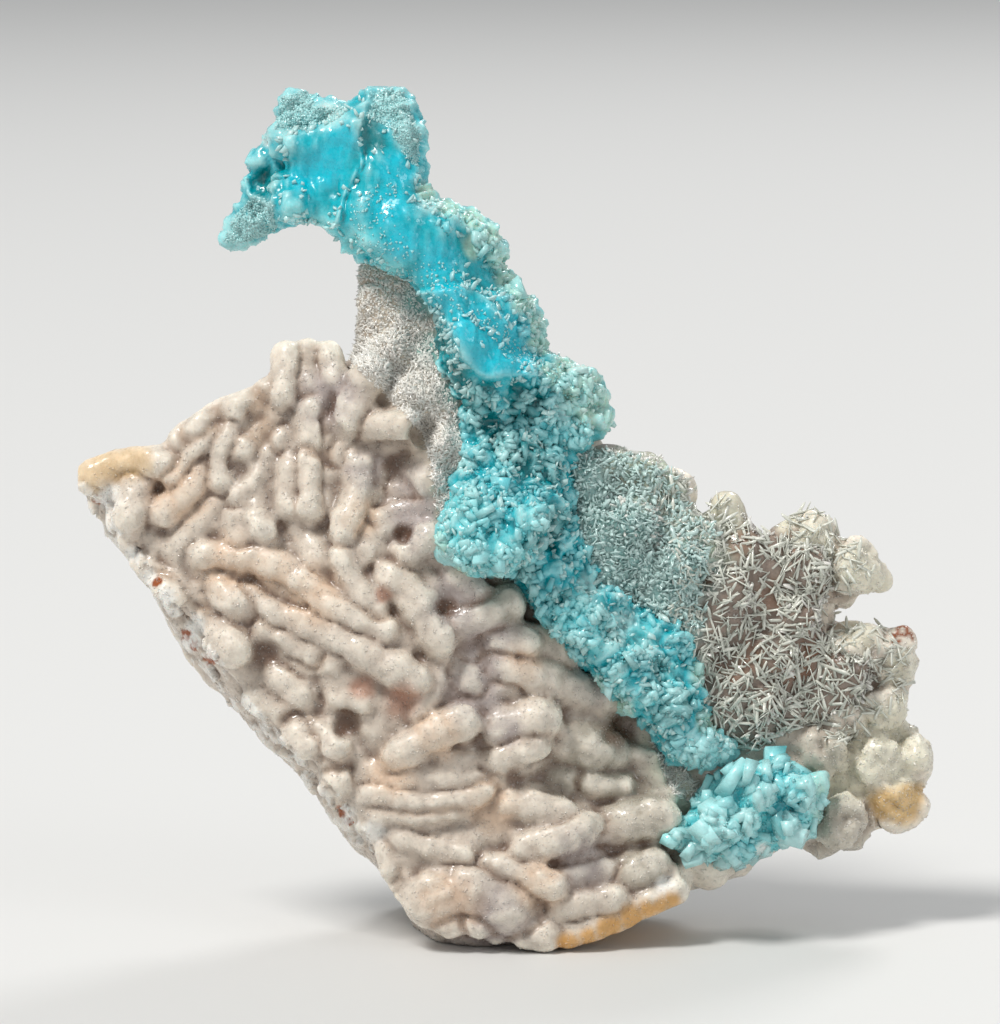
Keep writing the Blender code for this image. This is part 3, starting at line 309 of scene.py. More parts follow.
FIN_OUTLINE = (
    (-47.8, 116.2), (-46.5, 119.5), (-44.3, 123.5), (-43.2, 127), (-43, 130.5), (-40.5, 133),
    (-38.8, 135.2), (-38.6, 137.5), (-37, 140.2), (-34.5, 141.3), (-32.5, 139), (-30, 138.9),
    (-27.5, 138), (-25, 136), (-27, 128), (-31, 121), (-36, 118.6), (-41, 117.9), (-44.6, 115.9),
)
FIN_FRONT = (
    (-47, 117, -4), (-44, 121, -5.5), (-41, 129, -6.5), (-38, 122, -8.5), (-36, 139, -5.5),
    (-34, 135, -8), (-29, 137.5, -7.5), (-30, 128, -9),
)
FIN_BACK = ((-46, 118, -1.5), (-41, 128, -2), (-35, 138, -2.5), (-28, 136, -3), (-33, 124, -3))

# Faces that stand out of the crest, or sink in when negative: height, width of the edge, outline.

CREST_STEPS = (
    (1.3, 0.8, ((-39, 121), (-37.2, 129), (-38.7, 134), (-31, 136), (-22.6, 141.4), (-24.7, 133.3),
                (-24, 129.2), (-27.2, 123), (-28.4, 118), (-34, 119.4), (-37.7, 119.3))),
    (0.9, 3.0, ((-24.7, 133.3), (-24, 129.2), (-27.2, 123), (-28.4, 118), (-24, 112), (-18, 108.6),
                (-12, 112), (-14, 121), (-16.5, 131))),
    (1.8, 0.8, ((-16.8, 108.1), (-14.5, 104.5), (-12.2, 104.5), (-9.9, 99.1), (-8.6, 96.3), (-5.8, 93.5),
                (-4, 92.5), (-0.5, 93), (5.4, 93.3), (3.4, 98.9), (2.1, 102), (-0.5, 103.5), (-3, 106.8),
                (-6.1, 109.4))),
    (-1.6, 1.2, ((-18, 108), (-14.8, 104.2), (-12.4, 104.2), (-10.1, 98.9), (-8.8, 96), (-5.8, 93),
                 (5, 92.6), (7, 88), (4, 84), (-3, 82), (-8, 88), (-12, 95), (-17, 104))),
    (1.4, 0.9, ((-11.5, 63.8), (-6.1, 60.5), (-1.2, 61.9), (2.3, 62.6), (4.4, 66.1), (7.2, 70.3), (7, 76),
                (0, 79), (-5, 78), (-9, 72), (-12, 68))),
    (-1.2, 1.6, ((2, 61), (5, 66), (8, 71), (12, 76), (14, 73), (10, 67), (6, 60))),
    (-1.4, 1.0, ((-44, 127.6), (-39.8, 129), (-40, 122.6), (-43.6, 124))),
)

# Where the crest is smooth, rough with crystals, frosted or sparkling.

SMOOTH_FIELD = (
    (-39, 121), (-37, 129), (-38.5, 134), (-29, 136.4), (-24, 139), (-19, 136), (-17, 130), (-17, 124),
    (-11, 120), (-5, 115), (-1, 108), (3, 103), (3, 95), (-3, 91.6), (-7, 93), (-11, 100), (-14, 106),
    (-20, 110), (-26, 115), (-33, 118.6), (-38, 118),
)
ROUGH_FIELD = (
    (-15, 124), (-7, 120.6), (-1, 115), (1, 109), (5, 103), (6, 97), (14, 94), (17, 86), (12, 80),
    (11, 70), (14, 62), (20, 56), (28, 53), (32, 44), (34, 36), (37, 31), (32, 28), (26, 31), (22, 36),
    (14, 43), (7, 51), (2, 60), (-8, 61), (-12, 66), (-11, 71), (-8, 79), (-8, 86), (-6, 92), (0, 91),
    (4, 93), (2, 101), (-2, 108), (-6, 114), (-13, 120),
)
FROSTED_LOBE = ((-24, 137), (-22, 141.4), (-18, 141), (-15, 134), (-15.4, 128), (-18, 131), (-20, 135))
FIN_TIP = ((-47.8, 116), (-45, 121.4), (-43, 123), (-39.6, 122.6), (-39, 118), (-44, 116))
FIN_TOP = ((-39, 135), (-38, 140), (-34, 141.4), (-32, 138.4), (-27, 138.6), (-29, 136.4), (-34, 135))
SPARKLE_FIELD = (
    (-27, 122), (-24, 124), (-20, 128), (-18, 126), (-20, 121), (-17, 115), (-12, 113), (-7, 112.6),
    (-8, 108), (-4, 104), (1, 102), (4.6, 98), (4, 93), (1, 95), (-3, 100), (-8, 104), (-14, 108),
    (-21, 111), (-26, 117),
)

# The turquoise cluster at the lower right.

CLUSTER_OUTLINE = (
    (24.4, 17), (27, 19.2), (30, 20.5), (31, 24), (34, 26.4), (38, 28), (42, 29.4), (46, 30),
    (49.5, 27.6), (51.5, 25), (52.4, 21), (50.5, 18), (46, 15.4), (41, 13.2), (36, 11.8), (32, 12.2),
    (28, 14), (25.4, 15.6),
)
CLUSTER_FRONT = (
    (25, 17, -9), (30, 17, -12), (35, 19, -14), (41, 24, -13), (48, 26, -9), (50, 21, -8),
    (44, 17, -10), (36, 13, -10), (32, 23, -9),
)
CLUSTER_BACK = ((28, 16, 0), (40, 20, 3), (50, 24, 4))
CLUSTER_LUMPS = (
    (34.5, 18.5, -13, 3.0), (31, 14.5, -10, 2.0), (42, 23.5, -12.4, 2.6), (40, 20, -12.6, 2.0),
    (47.5, 24.5, -9.4, 2.6), (45.5, 19, -10, 2.2), (38.5, 25.6, -10.5, 2.2), (28, 17, -10, 2.0),
    (51, 25.5, -6, 2.2), (37, 14.4, -9.4, 2.0),
)

# The crust that carries the barite blades, the knobs that swell it, and where blades grow.

CRUST_OUTLINE = (
    (7.6, 79), (13, 81.3), (18.3, 81.8), (20, 80.8), (23.7, 80.6), (27, 77.7), (29.8, 76.2), (30, 71.8),
    (31.8, 70), (34, 71.2), (36.5, 73.2), (38.5, 71.5), (40.5, 68.5), (42.3, 66.8), (45, 68.2),
    (48, 70.2), (50, 70.6), (52.5, 69.5), (54, 66), (54, 61), (52.6, 57), (51, 54), (52.4, 50.5),
    (57, 49.5), (60, 46), (59.5, 41), (56, 37), (50, 35), (44, 33), (38, 31.6), (34, 32), (31, 36),
    (29, 43), (27.4, 48), (23.4, 51.4), (17.6, 53.2), (12, 60), (8, 69),
)
CRUST_FRONT = (
    (12, 78, -9), (20, 75, -8), (28, 74, -5), (16, 66, -11), (24, 60, -9), (30, 66, -7), (36, 71, -3),
    (33, 53, -7), (40, 62, -5), (48, 68, -2), (38, 44, -5), (44, 52, -4), (52, 62, -3), (50, 40, -2),
    (58, 46, -2), (44, 37, -3),
)
CRUST_BACK = ((15, 75, 2), (30, 60, 4), (50, 60, 6), (45, 40, 6), (58, 45, 7))
CRUST_KNOBS = (
    (49, 61, -1, 4.4), (42.5, 39.8, -2, 3.6), (55.5, 44, 0, 4.4), (44, 48, -2, 4.0), (36, 58, -4, 4.2),
    (28, 63, -6, 4.2), (20, 69, -8, 4.0), (36, 71.4, -1, 2.2), (47, 53, -2, 3.4),
)
TEAL_FIELD = (
    (8, 78), (13, 81), (20, 80.6), (27, 77), (30, 71), (34, 68), (32, 60), (32, 52), (27.6, 50),
    (18, 54), (12, 60), (8, 69),
)
BLADE_FIELD = (
    (25, 78), (36, 73), (41, 66), (60, 67), (63, 58), (54, 52), (63, 47), (60, 36), (50, 34), (38, 30),
    (31, 36), (27, 46), (25, 52), (28, 60), (27, 68), (22, 74),
)
KNOB_BLADE_FIELD = (
    (41, 70), (47, 72), (52, 71), (58, 66.5), (61, 61), (56, 57.4), (52, 60), (54, 52), (62, 52),
    (66.5, 47), (66, 41), (62, 36), (56, 32), (50, 34), (53, 44), (50, 56), (44, 64),
)

# The stage, in metres: the floor, the even light from all sides, and the lamps.

FLOOR_RADIUS = 9.0
FLOOR_GAP = 0.00005
FLOOR_COLOUR = (0.66, 0.66, 0.65, 1.0)
FLOOR_ROUGHNESS = 0.6
SKY_COLOUR = (0.96, 0.98, 1.0, 1.0)
SKY_STRENGTH = 0.42
LIGHT_TARGET = (0.0, 0.0, 0.07)

# Each lamp: name, place, width and height, watts, and colour.

LIGHTS = (
    ("key", (-1.7, -1.6, 3.4), (1.0, 1.0), 150.0, (1.0, 0.98, 0.95)),
    ("fill", (2.4, -1.8, 1.2), (1.2, 1.2), 14.0, (0.95, 0.98, 1.0)),
    ("rim", (1.2, 2.2, 2.2), (1.0, 0.8), 30.0, (1.0, 1.0, 1.0)),
)

# How far red, green and blue light travel in white crystals and in turquoise, as shares.

MILK = (1.0, 0.82, 0.7)
SEA = (0.3, 1.0, 1.0)


def linear(red, green, blue):
    """A display colour, 0 to 255, as the light that it stands for."""
    value = np.array((red, green, blue)) / 255.0
    return np.where(value <= 0.04045, value / 12.92, ((value + 0.055) / 1.055) ** 2.4)


GREIGE = linear(200, 187, 173)
IVORY = linear(236, 228, 214)
LILAC = linear(160, 149, 149)
UMBER = linear(96, 68, 50)
PEACH = linear(218, 188, 160)
OLIVE_GREY = linear(158, 152, 138)
HONEY = linear(222, 180, 104)
RUST = linear(150, 78, 30)
AMBER = linear(214, 160, 78)
CREAM = linear(226, 222, 202)
DRUSE = linear(200, 188, 172)
DRUSE_TEAL = linear(120, 178, 172)
SNOW = linear(240, 238, 232)
BLADE_WHITE = linear(226, 228, 217)
CYAN = linear(0, 176, 190)
# Dark teal, painted as shade on the turquoise.
SHADE_TEAL = linear(0, 124, 130)
BRIGHT = linear(0, 188, 208)
AQUA = linear(112, 212, 218)
ICE = linear(178, 226, 226)
MINT = linear(182, 218, 200)
PALE_TEAL = linear(204, 228, 224)
SMOKE = linear(146, 130, 118)
DEEP_BROWN = linear(96, 66, 46)

# Tints, as colour, strength and round patches (u, v, radius). Above 1 a tint is a hard-edged stain.
# The quartz tints lie under the painted shade of its creases and the painted highlight on its
# # fingers, and the stains, with the painted shade of the pits, lie over them. A tint's edge drifts
# # this far from where it is drawn.

TINT_DRIFT = 0.6
QUARTZ_TINTS = (
    # Lilac grey is partly the quartz's own cooler tone and partly painted shade.
    (LILAC, 0.7, (-12, 74, 7), (-8, 56, 6), (-3, 48, 6), (-30, 90, 5), (-24, 78, 3), (-14, 70, 6),
     (-6, 41, 5), (12, 13, 5), (-1, 35, 3), (-5, 2, 8), (16, 44, 5)),
    (PEACH, 0.7, (-55, 74, 5), (-47, 62, 5), (-33, 57, 5), (-25, 70, 3), (2, 46, 3), (-12, 34, 4),
     (-3, 22, 4), (-20, 27, 4), (-10, 6, 5), (5, 9, 4), (-40, 61, 4)),
    (OLIVE_GREY, 0.8, (14, 30, 5), (20, 24, 5), (24, 18, 5), (22, 12, 4), (10, 27, 4), (0, 56, 4)),
)
QUARTZ_STAINS_AND_PIT_SHADE = (
    (HONEY, 0.45, (-70.5, 77, 3), (-67, 79, 3.4), (-63, 79.6, 3)),
    (SNOW, 0.85, (-67, 73.5, 1.8), (-63, 64, 1.2), (-57, 57, 1.4), (-52.4, 52, 1.6), (-53, 49.4, 1.6),
     (-27, 20.6, 1.4), (-22.6, 17.6, 1.8), (26, 8.6, 1.8), (-60.5, 60.5, 1.2)),
    (RUST, 2.0, (-68.6, 73, 0.7), (-59, 59.3, 0.8), (-54, 50.5, 0.9), (-52.3, 48.6, 0.9),
     (-50.1, 46.4, 1.1), (-28, 21, 0.9), (-26.6, 19.4, 0.8), (64.8, 51, 1.3), (66.4, 51.3, 1.2),
     (66, 45.4, 0.8), (66.8, 31.6, 0.6)),
    (AMBER, 0.85, (9.5, -0.8, 1.8), (13, 0, 2.0), (16.7, 1.6, 2.2), (20, 3.4, 2.2), (23, 4.8, 1.8),
     (25, 5.6, 1.6), (27, 6.2, 1.6)),
    (CREAM, 0.8, (58, 62, 4), (61, 59, 3), (65, 45, 3), (66, 38, 3), (60, 30, 5), (67, 31, 4),
     (63, 35, 5), (56, 27, 5), (50, 66, 4), (36, 71, 3), (58, 51, 3), (65, 27, 3)),
    (OLIVE_GREY, 0.55, (52, 31, 4), (55, 18, 5), (50, 22, 4), (45, 15, 4)),
    (HONEY, 0.75, (62.5, 22.5, 2.6), (65.5, 22, 3), (67, 23.6, 2)),
    (IVORY, 0.8, (30, 9.6, 2.4), (34, 10.2, 2.4), (38, 11.4, 2.4), (43, 13.6, 2.4), (48, 17, 2)),
    # Painted shade: deep brown in the pits.
    (DEEP_BROWN, 0.8, (-14.4, 84.4, 2.4), (-19.4, 79, 1.8), (-27, 35.6, 2.2), (-10.4, 55.4, 1.8),
     (-40.5, 47.2, 2.2), (-18, 67.4, 1.4), (1.1, 26.6, 1.6), (18, 34.6, 3)),
    (linear(176, 128, 104), 0.7, (-18, 39.5, 3), (-21.2, 57.5, 1.4), (-24.6, 41.5, 2)),
)
COLUMN_TINTS = (
    (DRUSE, 1.0, (-22, 112, 5), (-22, 106, 5), (-21, 100, 5.5), (-18, 94, 5), (-15, 88, 4.5),
     (-13, 82, 3.6), (-11.4, 76, 2.8), (-10.6, 71, 2)),
    (UMBER, 0.35, (-24, 108, 2.4), (-24.5, 101, 2), (-20, 96, 2.4), (-23.6, 96, 2)),
    (DRUSE_TEAL, 0.85, (-15, 106, 2.8), (-13, 98, 2.6), (-10.4, 91, 2.4), (-8, 84, 2.4), (-8, 77, 2)),
    (CREAM, 0.75, (24, 33.5, 2.4), (26, 28, 2.6), (29, 24, 2.6), (32, 22, 2)),
)
TURQUOISE_TINTS = (
    (AQUA, 0.9, (-36, 121, 2), (-31, 119, 2.4), (-26, 116, 2.6), (-20, 112.6, 2.6), (-11, 66, 4),
     (-8, 71, 4), (-6, 63, 4), (0, 64, 3.4), (3, 70, 2.4), (10, 86, 3), (12, 83, 3), (6, 82, 2),
     (12, 56, 3), (8, 52, 2.4), (16, 50, 3), (22, 50, 3), (26, 44, 2.4), (23, 40, 2), (18, 42, 2)),
    # Painted shade: dark teal where the crest lies in shadow.
    (SHADE_TEAL, 0.95, (-12, 99, 2.2), (-9.6, 94, 2.6), (-6.4, 90, 3), (-4.4, 86, 2.6), (-1.6, 83, 3),
     (3, 88.6, 3.4), (2.6, 80, 4), (6.6, 78, 2.6), (-40.6, 126, 2.2), (-41.6, 122.6, 2),
     (-24, 135, 2.2), (-22.4, 132.6, 1.8), (7.6, 70, 2.6), (5, 66, 1.8), (3, 61, 2), (29, 40, 2.2),
     (25, 45.6, 1.6), (19, 46, 1.2), (14.4, 53.6, 1.4), (27, 37, 2.4), (8, 57, 1.6)),
    (ICE, 0.9, (13, 58.5, 2), (19, 53, 2.2), (17.5, 49.5, 1.5), (23, 47.5, 2), (27, 40, 1.4),
     (-11, 63, 2.4), (8.4, 87.4, 2), (13, 87, 2.6), (11, 92, 2.6), (-1, 80.6, 1.6), (-7.6, 79, 1.6),
     (-13.4, 122.4, 2), (-29.6, 137.4, 2.4)),
    (MINT, 0.95, (-14, 124.6, 1.6), (-10, 121.6, 2), (-6, 120, 2.2), (-3, 117, 2.2), (-1, 113, 2.2),
     (-6, 115.4, 2), (0, 109.6, 2), (2.6, 106, 2), (4.6, 102.6, 1.8), (5, 99, 1.8), (9, 96, 2.2),
     (13, 94, 2.6), (15, 90, 2.4), (16.4, 86, 2.2), (7, 94, 2), (10, 90.6, 2), (13, 87, 2),
     (10, 46, 1.6), (14, 42, 1.6), (19, 38.4, 1.6),
     (6, 50, 1.4), (-8, 60.6, 1.4), (-2, 59.6, 1.2), (-12.6, 66, 1.2), (33, 36, 2), (32, 44, 2)),
    (ICE, 0.75, (-20, 139, 3.4), (-17, 134, 2.4), (-35, 138.6, 3), (-46, 118, 2.4), (-43, 119, 2),
     (-37.6, 135, 1.8), (31, 30, 3), (35, 31, 3)),
    (SNOW, 0.6, (-41, 133, 1.0), (-30, 138, 1.4), (12, 95.4, 1.6)),
)
BRIGHT_TINTS = (
    (BRIGHT, 0.85, (-31, 129, 3.6), (-34, 127, 2.6), (-28, 133, 2.4), (-19, 128, 3), (-20, 122, 3.4),
     (-18, 116, 3), (-12, 113, 3), (-10, 107, 3), (-6, 102, 3.6), (-3, 98, 4), (1, 96.6, 3), (-1, 101, 3)),
    # Painted shade: dark teal in the strip beside the bright panel.
    (SHADE_TEAL, 0.6, (-14.6, 103, 1.6), (-11.6, 98.6, 1.8), (-9, 94.6, 1.8), (-4, 91.4, 1.8), (1, 91, 1.8)),
)
CLUSTER_TINTS = (
    (ICE, 0.95, (34.5, 18.5, 2.8), (31, 14, 2.4), (42, 24, 1.6), (40, 20, 1.4), (50.6, 22, 1.8)),
    (CYAN, 0.5, (44, 27, 3), (37, 25, 2.4), (39, 16.6, 2), (46, 22, 2.4), (36.6, 22, 1.8)),
    (MINT, 0.95, (51.6, 26, 2), (52, 19.6, 2), (26, 17, 1.6)),
    (SNOW, 0.8, (30, 11.6, 1.8), (36, 12, 1.8), (42, 14, 1.6), (47, 16.6, 1.4)),
)
CRUST_TINTS = (
    (linear(164, 206, 203), 0.9, (12, 75, 5), (16, 69, 6), (20, 62, 6), (14, 64, 5), (26, 57, 5),
     (22, 68, 5), (28, 52, 4), (30, 62, 5), (12, 80, 3)),
    (linear(204, 214, 194), 0.9, (20, 79, 3.4), (25, 77, 4), (28, 73, 4), (30, 70, 4), (35, 67, 4),
     (24, 73, 3)),
    (CREAM, 0.9, (47, 69, 2.6), (51, 69, 2.6), (36.5, 72, 3.4)),
    (linear(140, 112, 94), 0.9, (40, 47, 3), (52, 50, 4), (46, 44, 3), (54, 56, 3), (38, 66, 2.4),
     (48, 66, 2.4), (44, 57, 3), (36, 44, 2.4)),
    (linear(138, 92, 62), 0.8, (48.6, 44.4, 1.6), (50.4, 47.2, 1.6), (33, 60, 1.2), (51.6, 67.4, 1.6)),
    (linear(112, 104, 94), 0.7, (36, 48, 2), (34, 42, 2), (40, 35.4, 3), (45, 34.4, 2.4), (24, 66, 1.6)),
)


def shepard(u, v, controls):
    """Depth at each (u, v), blended smoothly from the nearby (u, v, y) controls."""
    total = np.zeros(len(u))
    weighted = np.zeros(len(u))
    for cu, cv, cy in controls:
        weight = 1.0 / ((u - cu) ** 2 + (v - cv) ** 2 + 6.0) ** 2
        total += weight
        weighted += weight * cy
    return weighted / total


def edge_distance(u, v, outline):
    """How far each (u, v) lies from the nearest stretch of the outline."""
    nearest = np.full(len(u), 1e9)
    for (u1, v1), (u2, v2) in zip(outline, outline[1:] + outline[:1]):
        du = u2 - u1
        dv = v2 - v1
        t = np.clip(((u - u1) * du + (v - v1) * dv) / (du * du + dv * dv), 0.0, 1.0)
        nearest = np.minimum(nearest, (u - u1 - t * du) ** 2 + (v - v1 - t * dv) ** 2)
    return np.sqrt(nearest)


def inside(u, v, outline):
    """True for each (u, v) within the outline."""
    odd = np.zeros(len(u), bool)
    for (u1, v1), (u2, v2) in zip(outline, outline[1:] + outline[:1]):
        if v1 != v2:
            odd ^= ((v1 > v) != (v2 > v)) & (u < (u2 - u1) * (v - v1) / (v2 - v1) + u1)
    return odd


def within(points, outline):
    """True for each point that the front view shows inside the outline."""
    return inside(points[:, 0], points[:, 2], outline)


def stand_up(points):
    """Front-view places to metres in the specimen's own upright frame."""
    u, y, v = points.T
    across = u - VIEW_CENTRE_U
    up = v - VIEW_CENTRE_V
    cos_tilt = math.cos(VIEW_TILT)
    sin_tilt = math.sin(VIEW_TILT)
    height = (up * (1 + y * cos_tilt / VIEW_DISTANCE) - y * sin_tilt) / (
        cos_tilt + up * sin_tilt / VIEW_DISTANCE
    )
    depth = VIEW_DISTANCE + y * cos_tilt - height * sin_tilt
    x = VIEW_CENTRE_U + across * depth / VIEW_DISTANCE
    return np.stack((x, y, AIM_HEIGHT + height), axis=1) * MM


def chance(cell, seed):
    """A repeatable number from 0 to 1 for each whole-number cell."""
    x, y, z = (cell.astype(np.int64) & 0xFFFFFFFF).T
    mixed = (x * 73856093) ^ (y * 19349663) ^ (z * 83492791) ^ (seed * 2654435761)
    mixed &= 0xFFFFFFFF
    mixed = ((mixed ^ (mixed >> 13)) * 1274126177) & 0xFFFFFFFF
    return ((mixed ^ (mixed >> 16)) & 0xFFFFFF) / 0xFFFFFF


def clouds(points, size, seed=0, octaves=1):
    """Soft noise from -1 to 1 with lumps of the given size."""
    total = np.zeros(len(points))
    for octave in range(octaves):
        place = points / size * 2 ** octave
        cell = np.floor(place)
        t = place - cell
        t = t * t * (3 - 2 * t)
        value = np.zeros(len(points))
        for corner in np.ndindex(2, 2, 2):
            offset = np.array(corner)
            share = np.prod(np.where(offset, t, 1 - t), axis=1)
            value += share * chance(cell + offset, seed + octave)
        total += (value * 2 - 1) / 2 ** octave
    return total


def round_cells(place, seed):
    """Each neighbouring cell of every place, with its own random middle."""
    cell = np.floor(place)
    for corner in np.ndindex(3, 3, 3):
        other = cell + np.array(corner) - 1
        middle = np.stack([chance(other, seed + axis) for axis in range(3)], axis=1) + other
        yield other, place - middle


def bubbles(points, size, seed=0):
    """1 in the middle of each round cell, falling to 0 where cells meet."""
    nearest = np.full(len(points), 9.0)
    for _, offset in round_cells(points / size, seed):
        nearest = np.minimum(nearest, (offset ** 2).sum(axis=1))
    return np.clip(1.0 - nearest, 0.0, 1.0)


def facets(points, size, seed=0, tilt=1.0):
    """Heights of flat, randomly tilted crystal faces, each about the given size across."""
    nearest = np.full(len(points), 99.0)
    height = np.zeros(len(points))
    for cell, offset in round_cells(points / size, seed):
        away = (offset ** 2).sum(axis=1)
        lean = np.stack([chance(cell, seed + 5 + axis) for axis in range(3)], axis=1) - 0.5
        level = chance(cell, seed + 9) - 0.5 + tilt * 2.0 * (offset * lean).sum(axis=1)
        closer = away < nearest
        height[closer] = level[closer]
        nearest[closer] = away[closer]
    return height * size


def pick(obj):
    """Makes obj the one selected, active object."""
    bpy.ops.object.select_all(action="DESELECT")
    obj.select_set(True)
    bpy.context.view_layer.objects.active = obj


def read_values(obj, name):
    """One triple for each point of the mesh: its place (co) or its normal."""
    flat = np.empty(len(obj.data.vertices) * 3, np.float32)
    obj.data.vertices.foreach_get(name, flat)
    return flat.reshape(-1, 3).astype(float)


def read_points(obj):
    return read_values(obj, "co")


def read_normals(obj):
    return read_values(obj, "normal")


def write_points(obj, points):
    obj.data.vertices.foreach_set("co", points.astype(np.float32).ravel())
    obj.data.update()


def raise_skin(obj, relief):
    """Moves each point out along its normal by its own height."""
    write_points(obj, read_points(obj) + read_normals(obj) * relief[:, None])


def neighbour_mean(obj, values, rounds):
    """The values after they have been averaged with their neighbours' a few times."""
    ends = np.empty(len(obj.data.edges) * 2, np.int32)
    obj.data.edges.foreach_get("vertices", ends)
    a, b = ends.reshape(-1, 2).T
    count = np.bincount(a, minlength=len(values)) + np.bincount(b, minlength=len(values)) + 1.0
    columns = values.reshape(len(values), -1).astype(float)
    for _ in range(rounds):
        mean = columns.copy()
        for axis in range(columns.shape[1]):
            column = columns[:, axis]
            mean[:, axis] += np.bincount(a, column[b], len(values)) + np.bincount(b, column[a], len(values))
        columns = mean / count[:, None]
    return columns.reshape(values.shape)


def bulge(obj, rounds):
    """Millimetres that each point stands proud of its softened surroundings."""
    points = read_points(obj)
    away = points - neighbour_mean(obj, points, rounds)
    return (away * read_normals(obj)).sum(axis=1)


def fuse(obj, cell):
    """Joins overlapping lumps into one skin of even small faces."""
    pick(obj)
    remesh = obj.modifiers.new("fuse", "REMESH")
    remesh.mode = "VOXEL"
    remesh.voxel_size = cell
    bpy.ops.object.modifier_apply(modifier=remesh.name)
    bpy.ops.object.shade_smooth()


def join(target, *others):
    """Makes the others part of the target's mesh."""
    pick(target)
    for other in others:
        other.select_set(True)
    bpy.ops.object.join()


def mesh_from(name, points, triangles):
    """A mesh object from arrays of points and of triangles."""
    mesh = bpy.data.meshes.new(name)
    mesh.vertices.add(len(points))
    mesh.vertices.foreach_set("co", points.astype(np.float32).ravel())
    mesh.loops.add(triangles.size)
    mesh.loops.foreach_set("vertex_index", triangles.astype(np.int32).ravel())
    mesh.polygons.add(len(triangles))
    mesh.polygons.foreach_set("loop_start", np.arange(0, triangles.size, 3, dtype=np.int32))
    mesh.update(calc_edges=True)
    obj = bpy.data.objects.new(name, mesh)
    bpy.context.scene.collection.objects.link(obj)
    return obj


def triangles_of(obj):
    mesh = obj.data
    mesh.calc_loop_triangles()
    flat = np.empty(len(mesh.loop_triangles) * 3, np.int32)
    mesh.loop_triangles.foreach_get("vertices", flat)
    return flat.reshape(-1, 3)


def take_shape(obj):
    """An object's points and faces; the object itself is cleared away."""
    shape = read_points(obj)
    faces = triangles_of(obj)
    bpy.data.objects.remove(obj, do_unlink=True)
    return shape, faces


def face_outwards(obj):
    pick(obj)
    bpy.ops.object.mode_set(mode="EDIT")
    bpy.ops.mesh.select_all(action="SELECT")
    bpy.ops.mesh.normals_make_consistent(inside=False)
    bpy.ops.object.mode_set(mode="OBJECT")


def slab(name, outline, front, back, rounding, cell, narrowing=0.0, middle=(0.0, 0.0)):
    """A solid with the drawn outline, whose faces follow the front and back depths."""
    bpy.ops.mesh.primitive_circle_add(vertices=len(outline), fill_type="NGON")
    obj = bpy.context.object
    obj.name = name
    write_points(obj, np.array([(u, v, -BLANK_THICKNESS / 2) for u, v in outline]))
    bpy.ops.object.mode_set(mode="EDIT")
    bpy.ops.mesh.select_all(action="SELECT")
    bpy.ops.mesh.extrude_region_move(TRANSFORM_OT_translate={"value": (0, 0, BLANK_THICKNESS)})
    bpy.ops.object.mode_set(mode="OBJECT")
    face_outwards(obj)
    fuse(obj, cell)
    u, v, level = read_points(obj).T
    share = 0.5 - level / BLANK_THICKNESS
    y_front = shepard(u, v, front)
    y_back = shepard(u, v, back)
    rim = np.clip(1.0 - edge_distance(u, v, outline) / rounding, 0.0, 1.0)
    bend = 1.0 - np.sqrt(1.0 - 0.96 * rim * rim)
    y_middle = y_front + RIM_LEVEL * (y_back - y_front)
    y_front += bend * (y_middle - y_front)
    y_back += bend * (y_middle - y_back)
    shrink = 1.0 - narrowing * np.clip(share, 0.0, None) ** 1.5
    write_points(obj, np.stack((
        middle[0] + (u - middle[0]) * shrink,
        y_front + share * (y_back - y_front),
        middle[1] + (v - middle[1]) * shrink,
    ), axis=1))
    face_outwards(obj)
    return obj


def smooth_path(points, step):
    """Points about a step apart along a smooth curve through the given ones."""
    points = [np.array(p, float) for p in points]
    ends = [2 * points[0] - points[1], *points, 2 * points[-1] - points[-2]]
    path = []
    for a, b, c, d in zip(ends, ends[1:], ends[2:], ends[3:]):
        count = max(1, round(float(np.linalg.norm(c - b)) / step))
        for i in range(count):
            t = i / count
            path.append(0.5 * (2 * b + (c - a) * t + (2 * a - 5 * b + 4 * c - d) * t * t
                               + (3 * b - a - 3 * c + d) * t ** 3))
    path.append(points[-1])
    return np.array(path)


def finger_rings():
    """Each finger as rings from root to tip: places (u, v), depth of the middle, and radius."""
    fingers = []
    for number, (radius, lift, *route) in enumerate(FINGERS):
        path = smooth_path(route, RING_SPACING)
        length = np.concatenate(((0.0,), np.cumsum(np.linalg.norm(np.diff(path, axis=0), axis=1))))
        start = (path[0] - path[1]) / np.linalg.norm(path[0] - path[1])
        end = (path[-1] - path[-2]) / np.linalg.norm(path[-1] - path[-2])
        thick = radius * FINGER_SWELL
        places = [path[0] + start * thick * reach for reach, size in ROUND_END]
        places += list(path)
        places += [path[-1] + end * thick * reach for reach, size in reversed(ROUND_END)]
        swell = 1.0 + 0.05 * np.sin(length * 1.1 + number) + 0.03 * np.sin(length * 2.6 + 2 * number)
        sizes = [size for reach, size in ROUND_END]
        sizes += list(swell)
        sizes += [size for reach, size in reversed(ROUND_END)]
        caps = len(ROUND_END)
        along = np.concatenate((np.zeros(caps), length / length[-1], np.ones(caps)))
        places = np.array(places)
        step = FINGER_STEP * math.sin(number * 2.4)
        proud = radius * lift * (0.45 + 0.55 * along) + FINGER_STAND + step
        depth = shepard(places[:, 0], places[:, 1], PLATE_FRONT) - proud
        fingers.append((places, depth, thick * np.array(sizes)))
    return fingers


